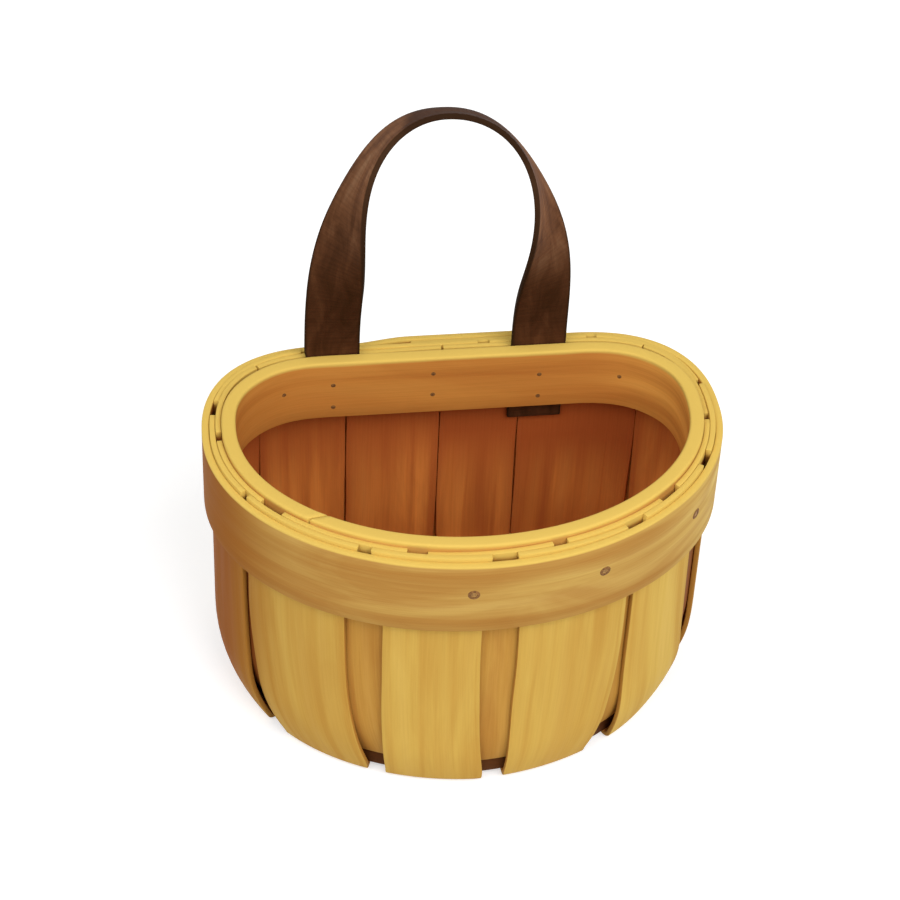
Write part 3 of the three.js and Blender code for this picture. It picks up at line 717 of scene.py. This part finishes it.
def stretches(place, lift):
    angle, start_height, _ = belly(place)
    straight = STAVE_TOP - lift - start_height
    return [straight, BELLY_RADIUS * angle, FOOT_RADIUS * (math.pi / 2 - angle), FOOT_LENGTH]


def wall(place, stretch, share, inset, lift):
    """Depth behind the outer staves' face and height, at a share of one of the four stretches."""
    angle, start_height, foot_depth = belly(place)
    if stretch == 0:
        return inset, lerp(STAVE_TOP, lift + start_height, share)
    if stretch == 1:
        turn, radius = angle * share, BELLY_RADIUS - inset
        return BELLY_RADIUS - radius * math.cos(turn), lift + start_height - radius * math.sin(turn)
    if stretch == 2:
        turn, radius = lerp(angle, math.pi / 2, share), FOOT_RADIUS - inset
        return foot_depth - radius * math.cos(turn), lift + FOOT_RADIUS - radius * math.sin(turn)
    return foot_depth + FOOT_LENGTH * share, lift + inset


print("stretches at the front in mm:", [round(v / MM, 1) for v in stretches(0, 0)])

# %% [markdown]
# What shows of a stave in the photograph is where it ends, so the gaps are what is given, and each
# stave fills the room between two of them. A gap has a place on the rim as a share of the girth,
# and in millimetres a width under the hoop, a width at the foot, how far it leans to the right on
# its way down, and a width at the staves' tops. Two more seams of the inner layer lie behind the
# strap's feet.

# %% Gaps between the staves
from collections import namedtuple

Gap = namedtuple("Gap", "place width foot lean top")
OUTER_GAPS = [(-0.189, 3, 10, 9.5, 3), (-0.0868, 14, 7, 5.2, 5), (0.0114, 13, 8, 1, 9),
              (0.113, 2.6, 12, -5, 8), (0.2, 15, 9, 3, 8), (0.29, 5, 7.5, 0, 4),
              (0.395, 5, 5, 0, 4), (0.475, 5, 5, 0, 4), (0.605, 5, 5, 0, 4), (0.71, 5, 7.5, 4, 8)]
INNER_GAPS = [(-0.165, 15, 5.5, 14, 9), (-0.05, 15.5, 8, 2, 7), (0.053, 10, 7.5, 0, 5),
              (0.152, 15, 8, 0, 9), (0.248, 10, 8, 0, 4), (0.352, 0.5, 4, 0, 0.5),
              (0.506, 0.5, 2, 0, 0.5), (0.649, 0.5, 4, 0, 0.5), (0.744, 12, 8, 0, 4)]
STRAP_CENTRE_X, STRAP_SPAN = -5.7 * MM, 75.5 * MM
STRAP_SEAM_INSET, STRAP_SEAM_GAP = 5.5 * MM, 0.5 * MM
strap_feet = (STRAP_CENTRE_X - STRAP_SPAN / 2, STRAP_CENTRE_X + STRAP_SPAN / 2)


def in_order(gaps):
    return sorted(Gap(share * GIRTH, *(size * MM for size in sizes)) for share, *sizes in gaps)


def neighbours(gaps):
    """Pairs of gaps with a stave between them, numbered from 1. The last pair closes the round."""
    closing = gaps[0]._replace(place=gaps[0].place + GIRTH)
    return enumerate(zip(gaps, gaps[1:] + [closing]), start=1)


outer_gaps, inner_gaps = in_order(OUTER_GAPS), in_order(INNER_GAPS)
for x in (strap_feet[1] - STRAP_SEAM_INSET, strap_feet[0] + STRAP_SEAM_INSET):
    inner_gaps.append(Gap(back_place(x), STRAP_SEAM_GAP, STRAP_SEAM_GAP, 0, STRAP_SEAM_GAP))
inner_gaps.sort()
print("gaps outside and inside:", len(outer_gaps), len(inner_gaps))

# %% [markdown]
# The staves of the real basket crowd together towards its small base, slowly at first and fast at
# the foot, so a gap's width follows a power of the height. The rim is longer than the foot's
# outline, which is allowed for by measuring how much shorter the wall is at each depth.

# %% The side of a gap
OUTER_HOOP_BOTTOM = OUTER_HOOP_TOP - OUTER_HOOP_HEIGHT
TAPER_POWER, TAPER_END = 2.5, 6 * MM
WIDEST_GAP_SHARE = 0.7
SHRINK_STEP = 6 * MM


def shrink(place, stretch, share, inset, lift):
    """How long a short piece of the wall's outline is there, as a share of the rim above it."""
    ends = [rim_point(near, OUTER_STAVE_DEPTH + wall(near, stretch, share, inset, lift)[0], 0)
            for near in (place - SHRINK_STEP, place + SHRINK_STEP)]
    return (ends[0] - ends[1]).length / (2 * SHRINK_STEP)


def gap_edge(gap, side, pitch, stretch, share, inset, lift):
    """The place on the rim over the left (-1) or right (1) side of a gap, at one spot of the wall."""
    height = wall(gap.place, stretch, share, inset, lift)[1]
    down = share_between(height, OUTER_HOOP_BOTTOM, lift + TAPER_END) ** TAPER_POWER
    up = share_between(height, OUTER_HOOP_BOTTOM, STAVE_TOP)
    middle = gap.place + gap.lean * down
    width = lerp(lerp(gap.width, gap.foot, down), gap.top, up)
    on_rim = width / shrink(middle, stretch, share, inset, lift)
    return middle + side * min(on_rim, pitch * WIDEST_GAP_SHARE) / 2


print("shrink at the front's foot:", round(shrink(0, 3, 0, 0, 0), 2))

# %% [markdown]
# Now a stave can be sawn and bent. The plank's cuts lie close together where it turns and far
# apart where it is straight. Its edges wander by a few tenths of a millimetre, because chip wood
# splits along its grain, its face has a very slight warp, and its top is cut a little unevenly.
# Round the left side the staves get painted shade in their tone, and inside they get a painted shadow of
# the hoop, darker towards the rim.

# %% One stave
Layer = namedtuple("Layer", "kind wood inset lift seeds")
ROWS = (18, 9, 8, 3)
STAVE_COLUMN, STAVE_EASE = 3.2 * MM, 0.28 * MM
GRAIN_SHIFT = (0.37, 0.113)
SPLIT, WARP, TILT = 0.45 * MM, 0.1 * MM, 1.4 * MM
UNEVEN_TOP = 6 * MM
ROUNDING = 1e-9
SNUG_ZONE = (BASKET_HEIGHT - 34 * MM, BASKET_HEIGHT - 28 * MM)


# Painted shade on the staves round the left side.
def shaded_far_left(point, tone):
    return min(1, tone + 0.75 * smoothstep(-point.x, 66 * MM, 90 * MM))


# A painted shadow of the inner hoop: the inside of a stave darkens towards the rim.
def hoop_shadow_inside(point, tone):
    return min(1, tone + 0.8 * smoothstep(point.z, 34 * MM, 88 * MM))


def make_stave(layer, number, left, right, tone, inner_tone):
    seed = layer.seeds + number
    pitch = right.place - left.place
    parts = stretches((left.place + right.place) / 2, layer.lift)
    starts = [sum(parts[:i]) for i in range(len(parts) + 1)]
    length, width = starts[-1], pitch - (left.width + right.width) / 2
    cuts = []
    for i, steps in enumerate(ROWS):
        cuts += [lerp(starts[i], starts[i + 1], k / steps) for k in range(0 if i else 1, steps)]
    columns = even_cuts(-width / 2, width / 2, STAVE_COLUMN)
    bm = sawn_plank(length, width, STAVE_THICKNESS, cuts, columns, STAVE_EASE)
    keep_maps(bm, length, width, offset=[seed * shift for shift in GRAIN_SHIFT])
    tilt = ripple(seed + 70, seed, 0, 1, TILT)

    def lay(x, y, z):
        stretch = max(i for i in range(len(parts)) if x >= starts[i] - ROUNDING)
        share = (x - starts[stretch]) / parts[stretch]
        side = y / width + 0.5
        spot = (pitch, stretch, share, layer.inset, layer.lift)
        place = lerp(gap_edge(left, 1, *spot), gap_edge(right, -1, *spot), side)
        place += ripple(seed, x, round(side), 30 * MM, SPLIT) * abs(2 * side - 1)
        height = wall(place, stretch, share, layer.inset + z, layer.lift)[1]
        snug = z + swelling(z, STAVE_THICKNESS) * smoothstep(height, *SNUG_ZONE)
        depth = wall(place, stretch, share, layer.inset + snug, layer.lift)[0]
        if stretch < 2:
            depth += ripple(seed + 40, x, y, 40 * MM, WARP) * smoothstep(x, 0, 30 * MM)
        height -= (abs(tilt) + tilt * (2 * side - 1)) * smoothstep(-x, -UNEVEN_TOP, 0)
        return rim_point(place, OUTER_STAVE_DEPTH + depth, height)

    bend(bm, lay)
    stave = make_piece(f"{layer.kind}_slat_{number}", bm, layer.wood,
                       [f"{layer.kind}_stave_{number}"], tone=lambda point: shaded_far_left(point, tone),
                       inner_tone=lambda point: hoop_shadow_inside(point, inner_tone))
    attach(stave, "basket")
    return stave


print("a stave has", sum(ROWS), "rows")

# %% [markdown]
# The outer staves are pale ochre. The ones on the left of the front are a little browner than the ones in
# the middle, partly as their own tone and partly as painted shade. The basket is brownest round both
# sides, which is painted shade: the stave at the right edge has a deep tone, and a tone rule adds more on
# the left. The tones are listed one by one.

# %% Outer staves
# Tones per stave: partly their own and partly painted shade, deepest for the stave at the right edge.
OUTER_TONES_AND_SHADE = [0.3, 0.2, 0.2, 0.06, 0.6, 0.25, 0.15, 0.25, 0.2, 0.3]

outer_layer = Layer("outer", outer_stave_wood, inset=0, lift=0, seeds=0)
outer_staves = [make_stave(outer_layer, number, left, right, tone, tone)
                for (number, (left, right)), tone in zip(neighbours(outer_gaps), OUTER_TONES_AND_SHADE)]
print("outer staves:", len(outer_staves))

# %% [markdown]
# The inner staves cover the gaps of the outer ones. They are a warmer wood. Seen from inside they are pale
# low down and get darker towards the hoop, a painted shadow of the hoop from a tone rule by height. Their
# tones are partly their own and partly painted light and shade, and the deepest one outside is painted
# shade behind the gap at the right.

# %% Inner staves
# Tones inside and outside: partly the staves' own and partly painted light and shade.
INNER_TONES_AND_SHADE = [0.2, 0.15, 0.15, 0.0, 0.0, 0.4, 0.3, 0.15, 0.1, 0.2, 0.25]
INNER_TONES_AND_SHADE_OUTSIDE = [0.15, 0.1, 0.1, 0.9, 0.3, 0.3, 0.3, 0.3, 0.3, 0.3, 0.6]

inner_layer = Layer("inner", inner_stave_wood, inset=INNER_STAVE_DEPTH - OUTER_STAVE_DEPTH,
                    lift=INNER_STAVE_LIFT, seeds=20)
inner_staves = [make_stave(inner_layer, number, left, right, *tones)
                for (number, (left, right)), *tones
                in zip(neighbours(inner_gaps), INNER_TONES_AND_SHADE_OUTSIDE, INNER_TONES_AND_SHADE)]
print("inner staves:", len(inner_staves))

# %% [markdown]
# ## The base board
#
# A thin board closes the bottom, inside the bend of the outer staves. It could be a flat face with
# a Solidify modifier. Here it starts as a circle whose corners move to the outline, and gets its
# thickness from an extrusion and a small bevel all round, so that it is finished like the strips.

# %% Base board
BOARD_EDGE_GAP = 0.6 * MM
BOARD_FACE = shades((178, 128, 70), (162, 110, 54), (122, 74, 34))
# The board's edge colour is painted shade, nearly black-brown, for the dark slot under the inner staves'
# feet.
BOARD_EDGE_SHADE = from_srgb(70, 34, 14)
board_wood = chip_wood("base_board_wood", outer=BOARD_FACE, inner=BOARD_FACE, edge=BOARD_EDGE_SHADE,
                       end=BOARD_EDGE_SHADE, clouds=0.6, gloss=0.65)


def board_edge(place):
    radius = FOOT_RADIUS - STAVE_THICKNESS
    in_bend = math.sqrt(radius ** 2 - (radius - CLEARANCE) ** 2)
    depth = OUTER_STAVE_DEPTH + belly(place)[2] - in_bend + BOARD_EDGE_GAP
    return rim_point(place, depth, BOARD_BOTTOM)


bm = bmesh.new()
corners = bmesh.ops.create_circle(bm, segments=120, radius=1, cap_ends=True)["verts"]
for i, corner in enumerate(corners):
    corner.co = board_edge(GIRTH * i / len(corners))
raised = bmesh.ops.extrude_face_region(bm, geom=bm.faces[:])["geom"]
bmesh.ops.translate(bm, vec=(0, 0, BOARD_THICKNESS),
                    verts=[v for v in raised if isinstance(v, bmesh.types.BMVert)])
bmesh.ops.recalc_face_normals(bm, faces=bm.faces)
ease_edges(bm, corners_of(bm), 0.4 * MM)
keep_maps(bm, 1, 1)
board = make_piece("bottom_panel", bm, board_wood, ["base_board"],
                   tone=lambda point: 0.2)
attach(board, "basket")
print("board faces:", len(board.data.polygons))

# %% [markdown]
# ## Nails and tacks
#
# The heads are small and round, and stained like the wood. Only some of them show. Four at the front are
# flush with the hoop, each in a dark ring of painted shade, which stands for the shadow in a thin gap
# round the head. The other heads are sunk in the wood, and the ones that were driven from inside show as
# small dark marks. Steel and these rings and marks get the same kind of finish, spotted by one small
# noise.

# %% Nail finish
def spotted(name, size, dark, pale, roughness, metallic=0.0):
    finish = Finish(name)
    spot = finish.add("ShaderNodeTexCoord").outputs["Object"]
    speck = finish.add("ShaderNodeTexNoise", {"Vector": spot, "Scale": size, "Detail": 3.0}).outputs["Fac"]
    rough, smooth = roughness
    finish.feed(finish.shader.inputs, {
        "Base Color": finish.ramp(speck, (0.32, from_srgb(*dark)), (0.68, from_srgb(*pale))),
        "Roughness": finish.ramp(speck, (0.3, grey(rough)), (0.7, grey(smooth))),
        "Metallic": metallic,
    })
    return finish.material


nail_steel = spotted("nail_steel_finish", 900.0, dark=(112, 76, 32), pale=(172, 128, 62),
                     roughness=(0.6, 0.45), metallic=0.35)
# The finish of the rings and marks at the nail heads; the rings are painted shade.
nail_shadow_and_marks = spotted("nail_shadow_and_mark_finish", 1200.0, dark=(88, 52, 16), pale=(140, 94, 38),
                       roughness=(0.85, 0.75))
print("nail finishes:", nail_steel.name, nail_shadow_and_marks.name)

# %% [markdown]
# A nail could be three cylinders, but one outline spun round its axis also gives the head's slight dome. A
# ring or a mark is a thin dark piece of its own, because the wood's surface is too coarse to carry a mark
# of two millimetres; the ring is painted shade. The outlines are pairs of a radius and a depth under the
# surface.

# %% Nail shapes
NAIL_RADIUS, HEAD_RADIUS, HEAD_HEIGHT = 0.6 * MM, 1.6 * MM, 0.7 * MM
FLUSH, SUNK = 0.04 * MM, 0.3 * MM
# The ring is a dark ring of painted shade round a flush head.
RING = [(HEAD_RADIUS - 0.6 * MM, 0.2 * MM), (HEAD_RADIUS - 0.5 * MM, -0.16 * MM),
        (HEAD_RADIUS + 0.2 * MM, -0.15 * MM), (HEAD_RADIUS + 0.7 * MM, 0.1 * MM),
        (HEAD_RADIUS + 0.3 * MM, 0.3 * MM), (HEAD_RADIUS - 0.6 * MM, 0.2 * MM)]
DOT = [(0, -0.12 * MM), (0.6 * MM, -0.11 * MM), (1 * MM, 0.06 * MM), (0.4 * MM, 0.28 * MM),
       (0, 0.28 * MM)]


def nail_outline(length, head):
    shoulder = head + HEAD_HEIGHT
    return [(0, head - 0.12 * MM), (0.9 * MM, head - 0.08 * MM), (1.45 * MM, head),
            (HEAD_RADIUS, head + 0.15 * MM), (HEAD_RADIUS, shoulder), (NAIL_RADIUS, shoulder),
            (NAIL_RADIUS, length - 0.8 * MM), (0, length)]


def add_spun(bm, profile, surface, outwards, steps=20):
    """Spin an outline about Z, and set it on a surface that faces outwards."""
    one = bmesh.new()
    points = [one.verts.new((radius, 0, -depth)) for radius, depth in profile]
    edges = [one.edges.new(pair) for pair in zip(points, points[1:])]
    bmesh.ops.spin(one, geom=points + edges, cent=(0, 0, 0), axis=(0, 0, 1), angle=math.tau,
                   steps=steps, use_merge=True, use_duplicate=False)
    bmesh.ops.remove_doubles(one, verts=one.verts, dist=WELD)
    bmesh.ops.recalc_face_normals(one, faces=one.faces)
    turn = Vector(outwards).to_track_quat("Z", "Y").to_matrix().to_4x4()
    bmesh.ops.transform(one, matrix=Matrix.Translation(surface) @ turn, verts=one.verts)
    spare = bpy.data.meshes.new("spare")
    one.to_mesh(spare)
    one.free()
    bm.from_mesh(spare)
    bpy.data.meshes.remove(spare)


print("points in a nail's outline:", len(nail_outline(0.01, FLUSH)))

# %% [markdown]
# The nails through the rim are placed by their share of the girth and their drop below the rim.
# Some are driven from outside, and the ones at the back from inside, so that the back stays flat.
# A group of nails is one piece, and its marks are another.

# %% Ways to drive a nail
def nail_group(name, nodes, spots, head, mark=(), marked=(), marked_head=SUNK):
    nails, marks = bmesh.new(), bmesh.new()
    for i, (surface, outwards, length) in enumerate(spots):
        depth = marked_head if i in marked else head
        add_spun(nails, nail_outline(length, depth), surface, outwards)
        if i in marked:
            add_spun(marks, mark, surface, outwards)
    group = make_piece(name, nails, nail_steel, nodes, sharp_angle=50)
    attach(group, "basket")
    if marked:
        shadows_and_marks = make_piece(name + "_marks", marks, nail_shadow_and_marks, [])
        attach(shadows_and_marks, "basket")
    else:
        marks.free()
    print(name, "has", len(spots), "nails")


def rim_faces(place, drop):
    height = BASKET_HEIGHT - drop
    outside = rim_point(place, 0, height)
    inside = rim_point(place, INNER_HOOP_DEPTH + slot_depth(place) + INNER_HOOP_THICKNESS, height)
    return outside, inside, (inside - outside).normalized(), (inside - outside).length


def from_outside(place, drop, bite):
    outside, _, inward, through = rim_faces(place, drop)
    return outside, -inward, through - INNER_HOOP_THICKNESS + bite


def from_inside(place, drop, bite):
    _, inside, inward, through = rim_faces(place, drop)
    return inside, inward, through - OUTER_HOOP_THICKNESS + bite


print("thickness of the rim at the front in mm:", round(rim_faces(0, 12 * MM)[3] / MM, 1))

# %% [markdown]
# Seven nails hold the rim at the front and the sides, two hold it at the back, two more hold the
# lapped ends of the outer hoop, and two go through each end of the strap. Under the base a tack
# goes through the foot of each outer stave into the board, midway between two gaps.

# %% Drive the nails
NAIL_BITE, BACK_NAIL_BITE, TACK_BITE = 2.6 * MM, 1.4 * MM, 3.4 * MM
RIM_NAIL_PLACES, RIM_NAIL_DROP = [-0.292, -0.202, -0.112, -0.01, 0.084, 0.173, 0.268], 16.5 * MM
FLUSH_NAILS = (3, 4, 5, 6)
BACK_NAIL_PLACES, BACK_NAIL_DROP = [0.368, 0.632], 12 * MM
LAP_NAIL_X, LAP_NAIL_DROPS = -7 * MM, [17.5 * MM, 7.5 * MM]
STRAP_NAIL_DROPS = [21 * MM, 10.5 * MM]

nail_group("rim_nail_heads", [f"rim_nail_{i + 1}" for i in range(len(RIM_NAIL_PLACES))],
           [from_outside(share * GIRTH, RIM_NAIL_DROP, NAIL_BITE) for share in RIM_NAIL_PLACES],
           SUNK, RING, marked=FLUSH_NAILS, marked_head=FLUSH)
nail_group("back_nail_heads", ["back_nail_right", "back_nail_left", "lap_nail_lower", "lap_nail_upper"],
           [from_inside(share * GIRTH, BACK_NAIL_DROP, BACK_NAIL_BITE) for share in BACK_NAIL_PLACES]
           + [from_inside(back_place(LAP_NAIL_X), drop, LAP_RISE + BACK_NAIL_BITE)
              for drop in LAP_NAIL_DROPS],
           SUNK, DOT, marked=range(4))
nail_group("strap_nail_heads", [f"strap_nail_{side}_{level}" for side in ("left", "right")
                                for level in ("lower", "upper")],
           [from_inside(back_place(x), drop, BACK_NAIL_BITE)
            for x in strap_feet for drop in STRAP_NAIL_DROPS],
           SUNK, DOT, marked=range(4))

tack_spots = []
for _, (left, right) in neighbours(outer_gaps):
    middle = (left.place + left.lean + right.place + right.lean) / 2
    depth = OUTER_STAVE_DEPTH + belly(middle)[2] + FOOT_LENGTH / 2
    tack_spots.append((rim_point(middle, depth, 0), Vector((0, 0, -1)), BOARD_BOTTOM + TACK_BITE))
nail_group("base_tack_heads", [f"base_tack_{i + 1}" for i in range(len(tack_spots))],
           tack_spots, FLUSH)

# %% [markdown]
# ## The leather strap
#
# One strip of leather stands up from the slot behind the inner hoop, turns over at the top and
# comes down again. It also twists on the way: its face looks to the front at both feet and mostly
# upwards at the top. A curve object would choose its own twist, so the middle line is worked out
# as a high arch whose legs bow forward, and the strip is laid along it with a frame of three
# directions at each point.

# %% The strap's middle line
STRAP_WIDTH = 20 * MM
STRAP_RISE, STRAP_LEAN = 101.5 * MM, 1.5 * MM
STRAP_TWIST = math.radians(119)
LEFT_LEG = {"bow": 14.5 * MM, "turns_late": 1.2}
RIGHT_LEG = {"bow": 9.5 * MM, "turns_late": 1}
LEG_POWER, TOP_POWER = 2.25, 4
ARCH_STEPS, ARCH_NEAR = 600, 0.002
CREASE = BASKET_HEIGHT + STRAP_THICKNESS / 2 + CLEARANCE
STRAP_Y = WIDEST_Y + BACK_DEPTH - INNER_HOOP_DEPTH - STRAP_THICKNESS / 2

arch = []
for i in range(ARCH_STEPS + 1):
    angle = math.pi * i / ARCH_STEPS
    across = math.copysign(abs(math.cos(angle)) ** (2 / LEG_POWER), math.cos(angle))
    up = max(math.sin(angle), 0) ** (2 / TOP_POWER)
    arch.append(Vector((-STRAP_SPAN / 2 * across, STRAP_RISE * up)))
arch_travelled = [0.0]
for here, following in zip(arch, arch[1:]):
    arch_travelled.append(arch_travelled[-1] + (following - here).length)
ARCH_LENGTH = arch_travelled[-1]


def height_share(share):
    """0 at a foot and 1 at the top, and the leg it is on."""
    return 1 - abs(2 * share - 1), LEFT_LEG if share < 0.5 else RIGHT_LEG


def arch_point(share):
    target = min(max(share, 0), 1) * ARCH_LENGTH
    i = min(bisect_right(arch_travelled, target), ARCH_STEPS)
    part = (target - arch_travelled[i - 1]) / (arch_travelled[i] - arch_travelled[i - 1])
    flat = arch[i - 1].lerp(arch[i], part)
    up, leg = height_share(share)
    back = STRAP_LEAN * smoothstep(up, 0, 1) - leg["bow"] * math.sin(math.pi * up) ** 2
    return Vector((STRAP_CENTRE_X + flat.x, STRAP_Y + back, CREASE + flat.y))


def arch_frame(share):
    along = arch_point(min(share + ARCH_NEAR, 1)) - arch_point(max(share - ARCH_NEAR, 0))
    along.normalize()
    up, leg = height_share(share)
    turn = STRAP_TWIST * (1 - math.cos(math.pi * up ** leg["turns_late"])) / 2
    outside = Vector((-along.z, 0, along.x)).normalized()
    face = Vector((0, -math.cos(turn), 0)) + outside * math.sin(turn)
    face = (face - along * face.dot(along)).normalized()
    return arch_point(share), face, face.cross(along)


print("strap's loop in millimetres:", round(ARCH_LENGTH / MM))

# %% [markdown]
# The leather is dark brown, nearly matt and smooth with a fine pebble. Voronoi cells at under a millimetre
# make the pebble, and two slow noises change the colour along the strip. High on both legs it is painted
# paler, a painted highlight, which the `tone` attribute holds. The cut edges are darker, from the `span`
# map.

# %% Leather
WEAR_STOPS = (0.3, 0.55, 0.8)
CREASE_SHADE, CREASE_SHARE = 0.55, 0.35

leather = Finish("strap_leather_finish")
hide = leather.uv("grain")
pebble = leather.add("ShaderNodeTexVoronoi", {"Vector": hide, "Scale": 1400.0, "Randomness": 1.0},
                     feature="SMOOTH_F1", voronoi_dimensions="2D").outputs["Distance"]
wear = leather.stretched_noise(hide, 45, 160, detail=5, roughness=0.6, distortion=0.5)
creases = leather.stretched_noise(hide, 900, 70, detail=3, roughness=0.6)

# The second colour set is the painted highlight high on both legs.
plain_hide, highlit_hide = [leather.ramp(wear, *zip(WEAR_STOPS, colours)) for colours in (
    shades((62, 36, 19), (76, 45, 26), (92, 57, 34)),
    shades((94, 58, 35), (126, 84, 56), (150, 112, 82)),
)]
hide_colour = leather.mix(leather.attribute("tone"), plain_hide, highlit_hide)
crease_lines = leather.ramp(creases, (0.35, grey(CREASE_SHADE)), (0.6, grey(1)))
hide_colour = leather.mix(CREASE_SHARE, hide_colour, crease_lines, blend="MULTIPLY")
to_edge = leather.off_middle(leather.split(leather.uv("span"))["Y"])
cut_edge = leather.math("MULTIPLY", leather.mask(to_edge, 0.44, 0.49), 0.9)

leather.feed(leather.shader.inputs, {
    "Base Color": leather.mix(cut_edge, hide_colour, from_srgb(44, 28, 16)),
    "Roughness": leather.ramp(wear, (0.3, grey(0.52)), (0.7, grey(0.66))),
    "Specular IOR Level": 0.02,
    "Normal": leather.bump(creases, 0.2, 0.2 * MM, Normal=leather.bump(pebble, 0.35, 0.12 * MM)),
})
print("leather nodes:", len(leather.nodes))

# %% [markdown]
# The strip is sawn like a plank, long enough for both hidden ends. The ends follow the curve of the rim,
# and the loop follows the arch. The strap crosses the crease over the rim.

# %% The strap
STRAP_TAILS = (4.5 * MM, 10 * MM)
STRAP_STEP = 1.6 * MM
TAIL_TURN, FOLD_HALF = 4 * MM, 3 * MM
HIGHLIGHT_START, HIGHLIGHT_END = (150 * MM, 190 * MM), (207 * MM, 216 * MM)
HIGHLIGHT_HIGHER_LEFT = 22 * MM
LEFT_TAIL, RIGHT_TAIL = [CREASE - BASKET_HEIGHT + INNER_HOOP_HEIGHT + tail for tail in STRAP_TAILS]
STRAP_LENGTH = LEFT_TAIL + ARCH_LENGTH + RIGHT_TAIL


def lay_strap(x, y, z):
    level = z - STRAP_THICKNESS / 2
    beyond = max(LEFT_TAIL - x, x - LEFT_TAIL - ARCH_LENGTH)
    if beyond <= 0:
        centre, face, across = arch_frame((x - LEFT_TAIL) / ARCH_LENGTH)
        return centre + across * y + face * level
    sideways = strap_feet[0] - y if x < LEFT_TAIL else strap_feet[1] + y
    flat = Vector((sideways, STRAP_Y - level, CREASE - beyond))
    curved = rim_point(back_place(sideways), INNER_HOOP_DEPTH + STRAP_THICKNESS / 2 + level,
                       CREASE - beyond)
    return flat.lerp(curved, smoothstep(beyond, 0, TAIL_TURN))


# Painted highlight: the strap is painted paler high on both legs, starting higher on the left.
def painted_highlight_share(point):
    left = smoothstep(STRAP_CENTRE_X - point.x, 3 * MM, 25 * MM)
    level = point.z - HIGHLIGHT_HIGHER_LEFT * left
    return smoothstep(level, *HIGHLIGHT_START) * (1 - smoothstep(level, *HIGHLIGHT_END))


strip = sawn_plank(STRAP_LENGTH, STRAP_WIDTH, STRAP_THICKNESS,
                   even_cuts(STRAP_STEP / 2, STRAP_LENGTH - STRAP_STEP / 2, STRAP_STEP),
                   across=[v * MM for v in range(-8, 9, 2)], ease=0.45 * MM)
keep_maps(strip, STRAP_LENGTH, STRAP_WIDTH)
bend(strip, lay_strap)
strap = make_piece("leather_strap", strip, leather.material,
                   ["strap_arch", "strap_end_left", "strap_end_right"], tone=painted_highlight_share)
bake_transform(strap)
print("strap in millimetres:", round(STRAP_LENGTH / MM), "faces:", len(strap.data.polygons))
